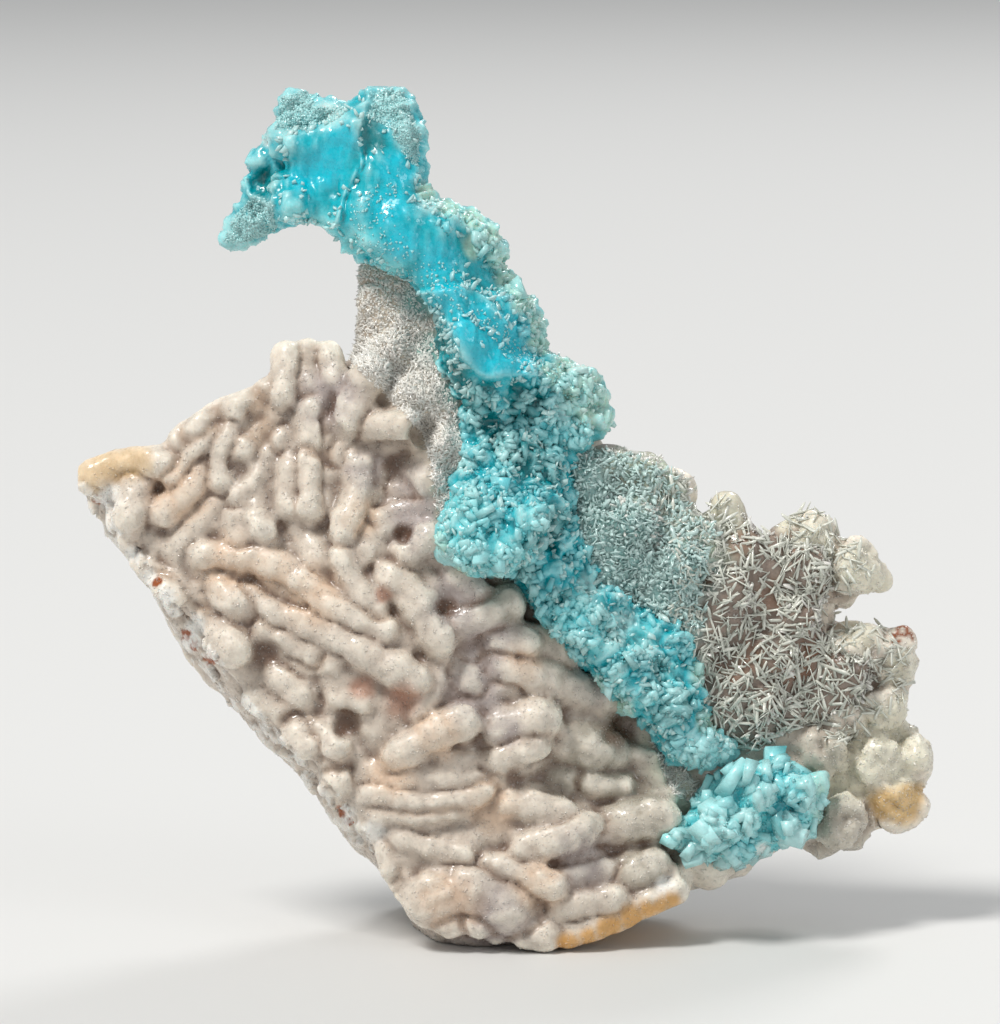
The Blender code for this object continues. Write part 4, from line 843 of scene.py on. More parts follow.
def finger_tubes():
    """All quartz fingers as round-ended tubes."""
    curve = bpy.data.curves.new("fingers", "CURVE")
    curve.dimensions = "3D"
    curve.fill_mode = "FULL"
    curve.bevel_depth = 1.0
    curve.bevel_resolution = 4
    curve.use_fill_caps = True
    for places, depth, radii in finger_rings():
        spline = curve.splines.new("POLY")
        spline.points.add(len(places) - 1)
        for point, (u, v), y, radius in zip(spline.points, places, depth, radii):
            point.co = (u, y, v, 1.0)
            point.radius = radius
    obj = bpy.data.objects.new("fingers", curve)
    bpy.context.scene.collection.objects.link(obj)
    pick(obj)
    bpy.ops.object.convert(target="MESH")
    bpy.ops.object.mode_set(mode="EDIT")
    bpy.ops.mesh.select_all(action="SELECT")
    bpy.ops.mesh.remove_doubles(threshold=0.0001)
    bpy.ops.object.mode_set(mode="OBJECT")
    return obj


def grooves(points):
    """1 where two fingers meet, 0 on a finger's own back."""
    none = -99.0
    highest = np.full(len(points), none)
    second = np.full(len(points), none)
    across = points[:, [0, 2]]
    for places, depth, radii in finger_rings():
        reach = radii.max() + 0.2
        low = places.min(axis=0) - reach
        high = places.max(axis=0) + reach
        near = np.flatnonzero(((across > low) & (across < high)).all(axis=1))
        away = ((across[near][:, None, :] - places[None, :, :]) ** 2).sum(axis=2)
        inner = radii ** 2 - away
        level = np.where(inner > 0, np.sqrt(np.maximum(inner, 0.0)) - depth, none).max(axis=1)
        beaten = level > highest[near]
        second[near] = np.where(beaten, highest[near], np.maximum(second[near], level))
        highest[near] = np.where(beaten, level, highest[near])
    return np.where(second > none, np.clip(1.0 - (highest - second), 0.0, 1.0), 0.0)


def balls(name, places):
    """Round lumps, each (u, v, depth of the middle, radius), as one mesh."""
    bpy.ops.mesh.primitive_ico_sphere_add(subdivisions=3, radius=1.0)
    ball, faces = take_shape(bpy.context.object)
    points = np.concatenate([ball * radius + (u, y, v) for u, v, y, radius in places])
    faces = np.concatenate([faces + number * len(ball) for number in range(len(places))])
    return mesh_from(name, points, faces)


def scattered(outline, spacing, seed):
    """Loose but even places inside an outline."""
    dice = np.random.default_rng(seed)
    u, v = np.array(outline).T
    columns = np.arange(u.min(), u.max(), spacing)
    rows = np.arange(v.min(), v.max(), spacing)
    grid = np.stack(np.meshgrid(columns, rows), axis=-1).reshape(-1, 2)
    grid += dice.uniform(0.1, 0.9, grid.shape) * spacing
    return grid[inside(grid[:, 0], grid[:, 1], outline)]


def buds():
    """Short fingers in the hollows, each a row of balls along its nearest long finger."""
    dice = np.random.default_rng(11)
    starts = np.array([route[0] for radius, lift, *route in FINGERS], float)
    ends = np.array([route[-1] for radius, lift, *route in FINGERS], float)
    middles = (starts + ends) / 2
    places = scattered(FINGER_FIELD, BUD_SPACING, seed=5)
    nearest = ((places[:, None, :] - middles[None, :, :]) ** 2).sum(axis=2).argmin(axis=1)
    along = (ends - starts)[nearest]
    along /= np.linalg.norm(along, axis=1)[:, None]
    radius = dice.uniform(1.3, 2.0, len(places))
    stand = dice.uniform(0.4, 1.2, len(places))
    rows = []
    for step in BUD_STEPS:
        at = places + along * (step * radius)[:, None]
        size = radius * (1.0 - 0.07 * abs(step))
        y = shepard(at[:, 0], at[:, 1], PLATE_FRONT) - radius * stand
        rows.append(np.stack((at[:, 0], at[:, 1], y, size), axis=1))
    return np.concatenate(rows)


def dig_pits(obj):
    """Presses round hollows into the front."""
    points = read_points(obj)
    for u, v, y, radius in PITS:
        reach = radius ** 2 - (points[:, 0] - u) ** 2 - (points[:, 2] - v) ** 2
        floor = y + np.sqrt(np.clip(reach, 0.0, None))
        dig = (reach > 0) & (points[:, 1] < floor) & (points[:, 1] > y - PIT_REACH)
        points[dig, 1] = floor[dig]
    write_points(obj, points)


def thin_back(obj, share):
    """Fewer faces on the side that faces away, where the surface is plainer."""
    levels = 12
    toward = np.clip(0.55 - read_normals(obj)[:, 1] * 1.6, 0.02, 1.0)
    group = obj.vertex_groups.new(name="front")
    steps = np.round(toward * levels).astype(int)
    for step in range(levels + 1):
        members = np.flatnonzero(steps == step).tolist()
        if members:
            group.add(members, 1.0 - 0.9 * step / levels, "REPLACE")
    pick(obj)
    thin = obj.modifiers.new("thin", "DECIMATE")
    thin.vertex_group = group.name
    thin.vertex_group_factor = 1.0
    thin.ratio = share
    bpy.ops.object.modifier_apply(modifier=thin.name)


def paint(points, ground, tints):
    """Colour at each front-view place: the ground colour under soft-edged tints and hard stains."""
    chips = facets(points, 0.9, seed=75, tilt=0.5)
    drift = np.stack([clouds(points, 3.0, seed=70 + axis, octaves=2) for axis in range(2)], axis=1)
    u = points[:, 0] + drift[:, 0] * TINT_DRIFT
    v = points[:, 2] + drift[:, 1] * TINT_DRIFT
    colour = np.broadcast_to(ground, (len(points), 3))
    for tint, strength, *patches in tints:
        share = np.zeros(len(points))
        for pu, pv, radius in patches:
            away = np.sqrt((u - pu) ** 2 + (v - pv) ** 2) / radius
            share = np.maximum(share, np.clip(1.5 - away, 0.0, 1.0))
        if strength > 1.0:
            share = (share > 0.05) * np.clip((share - 0.5 + chips) * 5.0, 0.0, 1.0)
        else:
            share = share * share * (3 - 2 * share) * strength
        colour = blend(colour, tint, share)
    return colour


def blend(colour, other, share):
    """Each colour moved towards the other one by its own share."""
    return colour + share[:, None] * (other - colour)


def set_colour(obj, colour):
    """Stores one colour for each point, which the material reads."""
    layer = obj.data.color_attributes.new("growth", "FLOAT_COLOR", "POINT")
    full = np.ones((len(colour), 4), np.float32)
    full[:, :3] = np.clip(colour, 0.0, 1.0)
    layer.data.foreach_set("color", full.ravel())


def read_colour(obj):
    full = np.empty(len(obj.data.vertices) * 4, np.float32)
    obj.data.color_attributes["growth"].data.foreach_get("color", full)
    return full.reshape(-1, 4)[:, :3].astype(float)


def unit(vectors):
    return vectors / np.maximum(np.linalg.norm(vectors, axis=1), 1e-9)[:, None]


def surface_samples(host, count, weight, seed):
    """Places on the host's faces, more where the weight is high, with their normals and colours."""
    dice = np.random.default_rng(seed)
    points = read_points(host)
    faces = triangles_of(host)
    a, b, c = (points[faces[:, corner]] for corner in range(3))
    cross = np.cross(b - a, c - a)
    area = np.linalg.norm(cross, axis=1)
    normals = cross / np.maximum(area, 1e-9)[:, None]
    share = area * weight((a + b + c) / 3, normals)
    chosen = dice.choice(len(faces), size=count, p=share / share.sum())
    r, s = dice.random((2, count))
    fold = r + s > 1
    r[fold] = 1 - r[fold]
    s[fold] = 1 - s[fold]
    places = a[chosen] + r[:, None] * (b - a)[chosen] + s[:, None] * (c - a)[chosen]
    tones = read_colour(host)[faces[chosen]].mean(axis=1)
    return places, normals[chosen], tones


def grow(name, crystal, places, normals, size, stand, lean, bury, seed, spread):
    """Copies of one crystal rooted at the places, as one mesh, with each point's height and owner.

    Stand gives the least and the most that a crystal's length rises along the surface's normal: 1 is
    upright and 0 lies flat.
    """
    dice = np.random.default_rng(seed)
    count = len(places)
    shape, faces = crystal
    length, width, thickness = size
    tangent = unit(np.cross(normals, dice.normal(0.0, 1.0, (count, 3))))
    upright = dice.uniform(*stand, (count, 1))
    axis = unit(normals * upright + tangent * np.sqrt(1.0 - upright ** 2)
                + dice.normal(0.0, 1.0, (count, 3)) * lean)
    side = unit(np.cross(axis, dice.normal(0.0, 1.0, (count, 3))))
    flat = np.cross(axis, side)
    own = np.exp(dice.normal(0.0, spread, count))
    scale = np.stack((width * own ** 0.5, thickness * own ** 0.5, length * own), axis=1)
    local = shape[None, :, :] * scale[:, None, :]
    up = np.broadcast_to(shape[:, 2], (count, len(shape)))
    local[:, :, 2] -= bury * scale[:, None, 2]
    points = (places[:, None, :] + local[:, :, :1] * side[:, None, :]
              + local[:, :, 1:2] * flat[:, None, :] + local[:, :, 2:] * axis[:, None, :])
    all_faces = faces[None, :, :] + (np.arange(count) * len(shape))[:, None, None]
    obj = mesh_from(name, points.reshape(-1, 3), all_faces.reshape(-1, 3))
    return obj, up.reshape(-1), np.repeat(np.arange(count), len(shape))


def point_shape(sides, radius):
    """A point with flat sides, one unit tall."""
    bpy.ops.mesh.primitive_cone_add(
        vertices=sides, radius1=radius, radius2=0.0, depth=1.0, location=(0, 0, 0.5)
    )
    bpy.ops.object.transform_apply(location=True)
    return take_shape(bpy.context.object)


def unit_cube():
    """A cube that stands on the ground, and which of its points are the top ones."""
    bpy.ops.mesh.primitive_cube_add(size=1.0, location=(0, 0, 0.5))
    obj = bpy.context.object
    bpy.ops.object.transform_apply(location=True)
    return obj, read_points(obj)[:, 2] > 0.5


def lath():
    """A flat blade with a roof-shaped end: a cube whose top is drawn in and raised."""
    obj, top = unit_cube()
    points = read_points(obj)
    points[top, 2] = 0.82
    write_points(obj, points)
    bpy.ops.object.mode_set(mode="EDIT")
    bpy.ops.mesh.select_mode(type="FACE")
    bpy.ops.mesh.select_all(action="DESELECT")
    bpy.ops.object.mode_set(mode="OBJECT")
    for face in obj.data.polygons:
        face.select = face.normal.z > 0.5
    bpy.ops.object.mode_set(mode="EDIT")
    bpy.ops.mesh.extrude_region_move(TRANSFORM_OT_translate={"value": (0, 0, 0.18)})
    bpy.ops.transform.resize(value=(0.35, 0.5, 1.0), center_override=(0, 0, 1.0))
    bpy.ops.object.mode_set(mode="OBJECT")
    return take_shape(obj)


def block():
    """A stout crystal with a slanted, drawn-in top."""
    obj, top = unit_cube()
    points = read_points(obj)
    points[top, :2] *= 0.62
    points[top, 2] += points[top, 0] * 0.45
    write_points(obj, points)
    return take_shape(obj)


def add_node(tree, kind, **values):
    """A node with its settings or its sockets' values given by name."""
    node = tree.nodes.new(kind)
    for name, value in values.items():
        if hasattr(node, name):
            setattr(node, name, value)
        else:
            node.inputs[name.replace("_", " ")].default_value = value
    return node


def finish_of(name, roughness, subsurface, scatter, ior, mottle, grain_size, grain_bump,
              transmission=0.0, glint=0.25, depth=0.001):
    """A crystal finish: the piece's own growth colours with fine mottling, and small facets.

    Each facet tilts the surface and has its own gloss, which glint makes stronger. Depth is how far
    light travels inside, in metres.
    """
    made = bpy.data.materials.new(name)
    made.use_nodes = True
    tree = made.node_tree
    link = tree.links.new
    shader = tree.nodes["Principled BSDF"]
    shader.inputs["IOR"].default_value = ior
    shader.inputs["Transmission Weight"].default_value = transmission
    shader.inputs["Subsurface Weight"].default_value = subsurface
    shader.inputs["Subsurface Radius"].default_value = scatter
    shader.inputs["Subsurface Scale"].default_value = depth

    place = add_node(tree, "ShaderNodeTexCoord").outputs["Object"]
    growth = add_node(tree, "ShaderNodeAttribute", attribute_name="growth")
    blotch = add_node(tree, "ShaderNodeTexNoise", Scale=420.0, Detail=4.0, Roughness=0.6)
    link(place, blotch.inputs["Vector"])
    shade = add_node(tree, "ShaderNodeMapRange", From_Min=0.3, From_Max=0.7,
                     To_Min=1.0 - mottle, To_Max=1.0 + mottle * 0.6)
    link(blotch.outputs["Fac"], shade.inputs["Value"])
    mix = add_node(tree, "ShaderNodeVectorMath", operation="SCALE")
    link(growth.outputs["Color"], mix.inputs[0])
    link(shade.outputs["Result"], mix.inputs["Scale"])
    link(mix.outputs["Vector"], shader.inputs["Base Color"])

    cells = add_node(tree, "ShaderNodeTexVoronoi", Scale=1.0 / grain_size)
    link(place, cells.inputs["Vector"])
    offset = add_node(tree, "ShaderNodeVectorMath", operation="SUBTRACT")
    link(place, offset.inputs[0])
    link(cells.outputs["Position"], offset.inputs[1])
    tilt = add_node(tree, "ShaderNodeVectorMath", operation="SUBTRACT")
    link(cells.outputs["Color"], tilt.inputs[0])
    tilt.inputs[1].default_value = (0.5, 0.5, 0.5)
    facet = add_node(tree, "ShaderNodeVectorMath", operation="DOT_PRODUCT")
    link(offset.outputs["Vector"], facet.inputs[0])
    link(tilt.outputs["Vector"], facet.inputs[1])
    bump = add_node(tree, "ShaderNodeBump", Strength=1.0, Distance=grain_bump)
    link(facet.outputs["Value"], bump.inputs["Height"])
    link(bump.outputs["Normal"], shader.inputs["Normal"])

    parts = add_node(tree, "ShaderNodeSeparateColor")
    link(cells.outputs["Color"], parts.inputs["Color"])
    gloss = add_node(tree, "ShaderNodeMapRange", From_Min=0.0, From_Max=1.0,
                     To_Min=max(0.05, roughness - glint), To_Max=roughness + 0.15)
    link(parts.outputs["Red"], gloss.inputs["Value"])
    link(gloss.outputs["Result"], shader.inputs["Roughness"])
    return made


def dress(obj, made):
    obj.data.materials.clear()
    obj.data.materials.append(made)


def toward_viewer(points, normals, outline):
    return within(points, outline) * np.clip(0.4 - normals[:, 1], 0.0, 1.0)


def in_clumps(points, normals, outline):
    crowd = np.clip(0.35 + 2.4 * clouds(points, 3.5, seed=91), 0.04, 1.0)
    return toward_viewer(points, normals, outline) * crowd


def at_rim(points, normals, outline):
    return within(points, outline) * np.clip(0.75 - np.abs(normals[:, 1] + 0.1), 0.0, 1.0)


def cover(name, host, crystal, outline, count, size, stand, seed, where=toward_viewer, lean=0.3,
          bury=0.35, tip=SNOW, root_share=0.0, tip_share=0.3, vary=0.12, spread=0.35, lift=0.0):
    """Grows crystals over part of a host. Size is their usual length, width and thickness.

    Each one takes the host's colour where it roots, mixed towards the tip colour by the root share at
    its foot and by the tip share more at its end.
    """
    places, normals, tones = surface_samples(
        host, count, lambda middle, normal: where(middle, normal, outline), seed
    )
    obj, up, owner = grow(name, crystal, places + normals * lift, normals, size, stand, lean, bury,
                          seed + 1, spread)
    dice = np.random.default_rng(seed + 2)
    tones = tones * (1.0 + dice.uniform(-vary, vary, (len(places), 1)))
    set_colour(obj, blend(tones[owner], tip, root_share + np.clip(up, 0, 1) * tip_share))
    return obj


def quartz_plate():
    """The plate with its fingers, buds, knobs and hollows, under a drusy skin."""
    body = slab("quartz_fingers", PLATE_OUTLINE, PLATE_FRONT, PLATE_BACK, rounding=5.0,
                cell=PLATE_CELL, narrowing=PLATE_NARROWING, middle=PLATE_MIDDLE)
    points = read_points(body)
    away = np.clip(read_normals(body)[:, 1] + 0.35, 0.0, 1.0)
    rough = 2.0 * clouds(points, 9.0, seed=3, octaves=4) + 0.7 * clouds(points, 3.0, seed=9, octaves=2)
    raise_skin(body, away * rough)
    join(body, finger_tubes(), balls("buds", buds()), balls("knobs", KNOBS))
    fuse(body, QUARTZ_CELL * 1.3)
    dig_pits(body)
    fuse(body, QUARTZ_CELL)
    write_points(body, neighbour_mean(body, read_points(body), rounds=1))
    points = read_points(body)
    normals = read_normals(body)
    skin = 0.28 * bubbles(points, 2.0, seed=5) + 0.1 * bubbles(points, 0.9, seed=8)
    skin += 0.35 * clouds(points, 3.6, seed=4, octaves=2)
    broken = within(points, BROKEN_EDGE) * np.clip(clouds(points, 5.0, seed=27) * 4 + 1, 0, 1)
    skin += broken * (0.5 * facets(points, 2.4, seed=29, tilt=0.6) - 0.2)
    crease = neighbour_mean(body, grooves(points), rounds=1)
    skin -= np.clip(0.2 - normals[:, 1], 0.0, 1.0) * 0.75 * crease
    knobbly = np.clip((points[:, 0] - KNOBBLY_FROM) / KNOBBLY_FADE, 0.0, 1.0)
    skin += knobbly * (1.5 * clouds(points, 4.0, seed=17, octaves=3) + 0.5 * bubbles(points, 2.4, seed=19))
    facing = np.clip(0.6 - normals[:, 1], 0.25, 1.0)
    raise_skin(body, facing * (skin - 0.2))
    thin_back(body, share=0.5)
    bpy.ops.object.shade_smooth()
    return body


def colour_quartz(body):
    """Greige quartz: painted ivory highlight on the fingers' backs, painted brown shade in the creases,
    stained in places.
    """
    points = read_points(body)
    away = read_normals(body)[:, 1]
    proud = bulge(body, rounds=24)
    colour = paint(points, GREIGE, QUARTZ_TINTS)
    # Painted shade: peach-brown in the grooves between fingers and umber in hollows. Painted highlight:
    # ivory where the surface stands proud.
    crease = neighbour_mean(body, grooves(points), rounds=2)
    colour = blend(colour, PEACH * 0.7, crease * 0.8)
    colour = blend(colour, IVORY, np.clip(proud * 1.5 - 0.05, 0.0, 0.9))
    colour = blend(colour, UMBER, np.clip(-proud * 1.5 - 0.15, 0.0, 0.8))
    colour = paint(points, colour, QUARTZ_STAINS_AND_PIT_SHADE)
    colour = blend(colour, paint(points, colour, COLUMN_TINTS), np.clip(1.0 - away * 2.0, 0.0, 1.0))
    chipped = np.clip(facets(points, 2.4, seed=29, tilt=0.6) * 1.2 - 0.1, 0.0, 0.7)
    colour = blend(colour, SNOW, within(points, BROKEN_EDGE) * chipped)
    colour = blend(colour, OLIVE_GREY * 0.9, np.clip(away * 1.2 - 0.2, 0.0, 0.6))
    set_colour(body, colour)


def grow_quartz_points(quartz):
    """Fine points over the front of the quartz, a little larger on the knobs."""
    points = cover("quartz_points", quartz, GRAIN, PLATE_OUTLINE, count=14000, size=(0.2, 0.42, 0.42),
                   stand=(0.9, 1.0), seed=100, bury=0.3, root_share=0.05)
    on_knobs = cover("knob_points", quartz, GRAIN, KNOB_FIELD, count=1600, size=(0.28, 0.45, 0.45),
                     stand=(0.8, 1.0), seed=104, root_share=0.2, tip_share=0.4)
    join(points, on_knobs)
    return points


def grow_druse(quartz):
    """Needles on the column, whiter along its edge, and beside the crest."""
    druse = cover("druse_needles", quartz, SPIKE, COLUMN, count=3600, size=(0.7, 0.6, 0.55),
                  stand=(0.5, 1.0), seed=110, lean=0.4, root_share=0.6, vary=0.1)
    edge = cover("white_needles", quartz, SPIKE, COLUMN_EDGE, count=2600, size=(1.1, 0.55, 0.45),
                 stand=(0.5, 1.0), seed=115, lean=0.45, root_share=0.8, tip_share=0.2, vary=0.1)
    margin = cover("margin_needles", quartz, SPIKE, MARGIN, count=900, size=(1.4, 0.45, 0.36),
                   stand=(0.5, 1.0), seed=120, lean=0.45, root_share=0.6, vary=0.15)
    join(druse, edge, margin)
    return druse


def crest_body():
    """The crest with its fins: smooth on its head and neck, lumpy and faceted elsewhere."""
    body = slab("turquoise_crest_body", CREST_OUTLINE, CREST_FRONT, CREST_BACK, rounding=4.0,
                cell=DRAFT_CELL)
    join(body, slab("fins", FIN_OUTLINE, FIN_FRONT, FIN_BACK, rounding=1.5, cell=FIN_CELL))
    fuse(body, CREST_CELL)
    points = read_points(body)
    normals = read_normals(body)
    smooth = neighbour_mean(body, within(points, SMOOTH_FIELD), rounds=6)
    gentle = 0.45 * clouds(points, 4.0, seed=31, octaves=3) + 0.15 * bubbles(points, 1.6, seed=33)
    streaks = 0.3 * clouds(points * (1.6, 1.0, 0.3), 1.1, seed=35, octaves=2)
    rough = 0.9 * bubbles(points, 3.2, seed=39) + 0.4 * facets(points, 3.0, seed=37, tilt=0.5)
    rough += 0.7 * facets(points, 1.4, seed=41, tilt=0.7)
    relief = smooth * (gentle + streaks) + (1.0 - smooth) * (rough + gentle)
    points += normals * neighbour_mean(body, relief, rounds=1)[:, None]
    facing = np.clip(0.3 - normals[:, 1] * 2.0, 0.0, 1.0)
    for height, edge, outline in CREST_STEPS:
        ramp = np.clip(edge_distance(points[:, 0], points[:, 2], outline) / edge, 0.0, 1.0)
        points[:, 1] -= facing * within(points, outline) * ramp * height
    write_points(body, points)
    return body


def colour_turquoise(body, ground, tints, painted_shade, pale, last_tints=()):
    """Tinted turquoise, with painted shade in its hollows and a paler painted highlight where it stands
    proud.

    The painted shade and the pale highlight each give a colour, its share for each millimetre that a
    point stands proud, its share on even ground, and its largest share.
    """
    points = read_points(body)
    colour = paint(points, ground, tints)
    proud = bulge(body, rounds=16)
    # Painted shade darkens the hollows, and a painted highlight pales what stands proud.
    for tone, slope, start, most in (painted_shade, pale):
        colour = blend(colour, tone, np.clip(proud * slope + start, 0.0, most))
    set_colour(body, paint(points, colour, last_tints))


def grow_crest_crystals(crest):
    """Blocky crystals in clumps, a pale fringe along the rim, frost, and sparkles whose pale colour is a
    painted glint.
    """
    plates = cover("turquoise_plates", crest, BLOCK, ROUGH_FIELD, count=1250, size=(1.2, 2.0, 0.85),
                   stand=(0.6, 1.0), seed=130, where=in_clumps, bury=0.55, tip=ICE, tip_share=0.5,
                   vary=0.14, spread=0.4)
    fringe = cover("fringe", crest, BLOCK, CREST_OUTLINE, count=1500, size=(1.0, 0.9, 0.35),
                   stand=(0.8, 1.0), seed=134, where=at_rim, bury=0.4, tip=PALE_TEAL,
                   root_share=0.35, tip_share=0.4)
    small = cover("small", crest, GRAIN, ROUGH_FIELD, count=2400, size=(0.6, 0.7, 0.7),
                  stand=(0.6, 1.0), seed=138, where=in_clumps, bury=0.3, tip=AQUA,
                  root_share=0.2, tip_share=0.5)
    frost = [
        cover("frost", crest, GRAIN, field, count=1400, size=(0.4, 0.5, 0.5),
              stand=(0.7, 1.0), seed=142 + 3 * number, bury=0.3, tip=ICE, root_share=0.7)
        for number, field in enumerate((FROSTED_LOBE, FIN_TIP, FIN_TOP))
    ]
    # Painted glints: pale grains coloured near white to stand for sparkles of light.
    sparkles = cover("sparkles", crest, GRAIN, SPARKLE_FIELD, count=420, size=(0.3, 0.5, 0.5),
                     stand=(0.8, 1.0), seed=155, lean=0.4, bury=0.3, tip=ICE,
                     root_share=0.6, tip_share=0.4)
    join(plates, fringe, small, sparkles, *frost)
    return plates


def cluster_body():
    """The lumpy, faceted body of the lower cluster."""
    body = slab("turquoise_cluster_body", CLUSTER_OUTLINE, CLUSTER_FRONT, CLUSTER_BACK, rounding=4.0,
                cell=DRAFT_CELL)
    join(body, balls("lumps", CLUSTER_LUMPS))
    fuse(body, CLUSTER_CELL)
    points = read_points(body)
    relief = 0.4 * facets(points, 3.2, seed=51, tilt=0.5) + 0.4 * facets(points, 1.4, seed=53, tilt=0.6)
    raise_skin(body, neighbour_mean(body, relief, rounds=2))
    return body


def grow_cluster_crystals(cluster):
    """Large blocks and finer grains between them."""
    chips = cover("cluster_crystals", cluster, BLOCK, CLUSTER_OUTLINE, count=150, size=(1.2, 3.6, 1.5),
                  stand=(0.6, 1.0), seed=160, bury=0.55, tip=ICE, root_share=0.2, tip_share=0.5,
                  spread=0.4)
    grains = cover("chip_grains", cluster, GRAIN, CLUSTER_OUTLINE, count=1000, size=(0.5, 0.6, 0.6),
                   stand=(0.6, 1.0), seed=164, bury=0.3, tip=ICE, tip_share=0.45)
    join(chips, grains)
    return chips


def crust_body():
    """The lumpy smoky crust."""
    body = slab("smoky_crust", CRUST_OUTLINE, CRUST_FRONT, CRUST_BACK, rounding=3.0, cell=DRAFT_CELL)
    join(body, balls("crust_knobs", CRUST_KNOBS))
    fuse(body, CRUST_CELL)
    points = read_points(body)
    raise_skin(body, 0.8 * clouds(points, 4.5, seed=61, octaves=2) + 0.5 * bubbles(points, 3.0, seed=63))
    return body


def colour_crust(body):
    """Smoky quartz, tinted teal towards the crest, with brown painted shade in its hollows."""
    colour = paint(read_points(body), SMOKE, CRUST_TINTS)
    # Painted shade: deep brown in the hollows.
    hollow_shade = np.clip(-bulge(body, rounds=20) * 0.8, 0.0, 0.6)
    set_colour(body, blend(colour, DEEP_BROWN, hollow_shade))


def grow_blades(crust, quartz):
    """The barite blades on the crust and the knobs, the short teal ones, and the crust's rim."""
    laths = cover("barite_laths", crust, LATH, BLADE_FIELD, count=1350, size=(2.9, 0.44, 0.14),
                  stand=(0.0, 0.4), seed=170, lean=0.1, bury=0.4, tip=BLADE_WHITE,
                  root_share=0.85, tip_share=0.1, vary=0.08, spread=0.3, lift=0.15)
    on_knobs = cover("knob_laths", quartz, LATH, KNOB_BLADE_FIELD, count=330, size=(2.6, 0.42, 0.14),
                     stand=(0.0, 0.45), seed=175, lean=0.1, tip=BLADE_WHITE,
                     root_share=0.8, tip_share=0.15, vary=0.08, spread=0.3, lift=0.1)
    teal = cover("teal_laths", crust, LATH, TEAL_FIELD, count=2400, size=(1.5, 0.5, 0.16),
                 stand=(0.2, 0.9), seed=180, lean=0.2, bury=0.3, tip=PALE_TEAL,
                 root_share=0.65, tip_share=0.35)
    rim = cover("rim_laths", crust, LATH, CRUST_OUTLINE, count=700, size=(1.4, 0.45, 0.16),
                stand=(0.3, 1.0), seed=190, where=at_rim, lean=0.25, bury=0.3, root_share=0.7)
    grains = cover("rim_grains", crust, GRAIN, CRUST_OUTLINE, count=2400, size=(0.6, 0.5, 0.5),
                   stand=(0.5, 1.0), seed=195, where=at_rim, bury=0.3, root_share=0.5, tip_share=0.4)
    join(laths, on_knobs, teal, rim, grains)
    return laths


def settle(obj):
    """From front-view millimetres to upright metres, inside the solid model's box."""
    points = stand_up(read_points(obj))
    low = np.array(CAD_LOW) + BOX_CLEARANCE
    high = np.array(CAD_HIGH) - BOX_CLEARANCE
    write_points(obj, np.clip(points, low, high))


def ready(obj, finish, slot, *nodes):
    """Last steps for a piece: place, finish, body and what it stands for."""
    settle(obj)
    dress(obj, finish)
    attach(obj, "root")
    if nodes:
        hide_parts(*nodes)


def pale_floor():
    bpy.ops.mesh.primitive_circle_add(
        vertices=96, radius=FLOOR_RADIUS, fill_type="NGON", location=(0, 0, -FLOOR_GAP)
    )
    floor = bpy.context.object
    floor.name = "floor"
    bpy.ops.object.transform_apply(location=True)
    pale = bpy.data.materials.new("pale_floor")
    pale.use_nodes = True
    shader = pale.node_tree.nodes["Principled BSDF"]
    shader.inputs["Base Color"].default_value = FLOOR_COLOUR
    shader.inputs["Roughness"].default_value = FLOOR_ROUGHNESS
    dress(floor, pale)
    floor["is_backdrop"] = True


def studio_sky():
    world = bpy.data.worlds.new("studio")
    bpy.context.scene.world = world
    world.use_nodes = True
    sky = world.node_tree.nodes["Background"]
    sky.inputs["Color"].default_value = SKY_COLOUR
    sky.inputs["Strength"].default_value = SKY_STRENGTH


def soft_light(name, location, size, power, colour):
    """A rectangular lamp that is turned to the specimen."""
    lamp = bpy.data.lights.new(name, "AREA")
    lamp.shape = "RECTANGLE"
    lamp.size, lamp.size_y = size
    lamp.energy = power
    lamp.color = colour
    obj = bpy.data.objects.new(name, lamp)
    bpy.context.scene.collection.objects.link(obj)
    obj.location = location
    obj.rotation_mode = "QUATERNION"
    obj.rotation_quaternion = (Vector(LIGHT_TARGET) - Vector(location)).to_track_quat("-Z", "Y")


def front_camera():
    """The camera of the drawn front view."""
    camera = bpy.data.cameras.new("camera")
    camera.sensor_width = SENSOR
    camera.lens = SENSOR * VIEW_DISTANCE / PICTURE_SPAN
    camera.clip_start = 0.01
    obj = bpy.data.objects.new("camera", camera)
    bpy.context.scene.collection.objects.link(obj)
    obj.location = (
        VIEW_CENTRE_U * MM,
        -VIEW_DISTANCE * math.cos(VIEW_TILT) * MM,
        (AIM_HEIGHT + VIEW_DISTANCE * math.sin(VIEW_TILT)) * MM,
    )
    obj.rotation_euler = (math.radians(90) - VIEW_TILT, 0.0, 0.0)
    bpy.context.scene.camera = obj
    bpy.context.scene.view_settings.view_transform = "Standard"


# The solid model, which sets the box that the pieces stay in

bpy.ops.object.select_all(action="DESELECT")
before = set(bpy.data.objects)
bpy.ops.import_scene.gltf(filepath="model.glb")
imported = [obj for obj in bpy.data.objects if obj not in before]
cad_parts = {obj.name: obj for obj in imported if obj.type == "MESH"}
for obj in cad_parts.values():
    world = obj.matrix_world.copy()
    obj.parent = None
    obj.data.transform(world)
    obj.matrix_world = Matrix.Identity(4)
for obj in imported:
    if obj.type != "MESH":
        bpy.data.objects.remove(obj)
bpy.ops.object.select_all(action="DESELECT")
CAD_LOW, CAD_HIGH = (tuple(corner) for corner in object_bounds())

# Finishes and single crystals

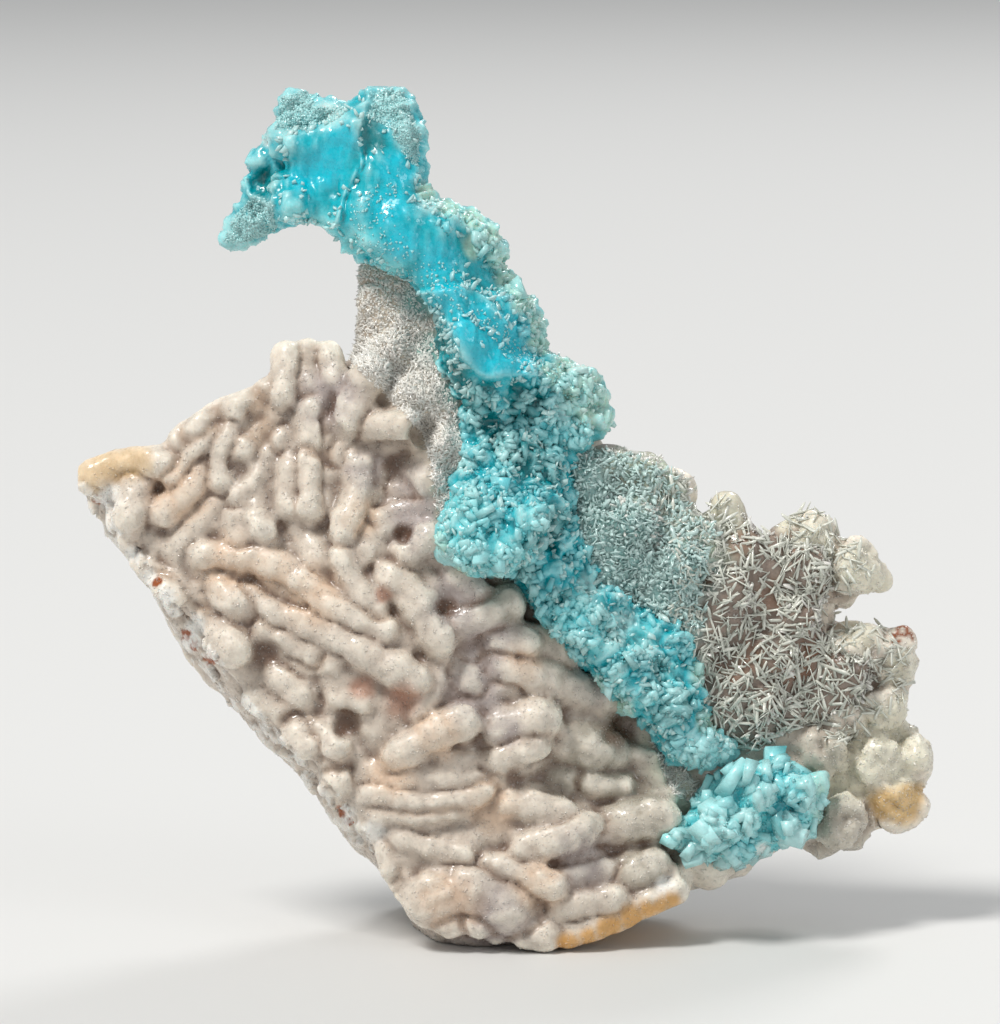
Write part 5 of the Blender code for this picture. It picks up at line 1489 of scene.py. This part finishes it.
QUARTZ = finish_of("milky_quartz", roughness=0.5, subsurface=0.45, scatter=MILK, ior=1.54, mottle=0.14,
                   grain_size=0.00045, grain_bump=0.12, glint=0.35, depth=0.0006)
POINTS = finish_of("quartz_points", roughness=0.25, subsurface=0.0, scatter=MILK, ior=1.54, mottle=0.1,
                   grain_size=0.0006, grain_bump=0.06)
TURQUOISE = finish_of("turquoise_crystal", roughness=0.28, subsurface=0.5, scatter=SEA, ior=1.6,
                      mottle=0.12, grain_size=0.0006, grain_bump=0.2)
FROST = finish_of("frosted_turquoise", roughness=0.3, subsurface=0.1, scatter=SEA, ior=1.6, mottle=0.1,
                  grain_size=0.0006, grain_bump=0.08, depth=0.0002)
BARITE = finish_of("barite_blade", roughness=0.2, subsurface=0.0, scatter=MILK, ior=1.64, mottle=0.06,
                   grain_size=0.0008, grain_bump=0.05, transmission=0.1)
CRUST = finish_of("smoky_crust", roughness=0.25, subsurface=0.5, scatter=MILK, ior=1.54, mottle=0.18,
                  grain_size=0.0006, grain_bump=0.12)

GRAIN = point_shape(sides=3, radius=0.6)
SPIKE = point_shape(sides=4, radius=0.5)
LATH = lath()
BLOCK = block()

# The specimen

quartz = quartz_plate()
colour_quartz(quartz)
points = grow_quartz_points(quartz)
druse = grow_druse(quartz)

crest = crest_body()
colour_turquoise(crest, CYAN, TURQUOISE_TINTS, painted_shade=(SHADE_TEAL, -1.2, 0.0, 0.7), pale=(ICE, 1.5, -0.05, 0.75),
                 last_tints=BRIGHT_TINTS)
plates = grow_crest_crystals(crest)

cluster = cluster_body()
colour_turquoise(cluster, AQUA, CLUSTER_TINTS, painted_shade=(CYAN, -1.0, 0.0, 0.5), pale=(ICE, 1.5, 0.1, 0.8))
chips = grow_cluster_crystals(cluster)

crust = crust_body()
colour_crust(crust)
laths = grow_blades(crust, quartz)

ready(quartz, QUARTZ, "quartz", "quartz_matrix")
ready(points, POINTS, "quartz")
ready(druse, POINTS, "quartz")
ready(crest, TURQUOISE, "turquoise", "turquoise_crest")
ready(plates, FROST, "turquoise")
ready(cluster, TURQUOISE, "pale_turquoise", "turquoise_cluster")
ready(chips, FROST, "pale_turquoise")
ready(crust, CRUST, "barite", "barite_blades")
ready(laths, BARITE, "barite")

# Floor, light and camera

pale_floor()
studio_sky()
for light in LIGHTS:
    soft_light(*light)
front_camera()
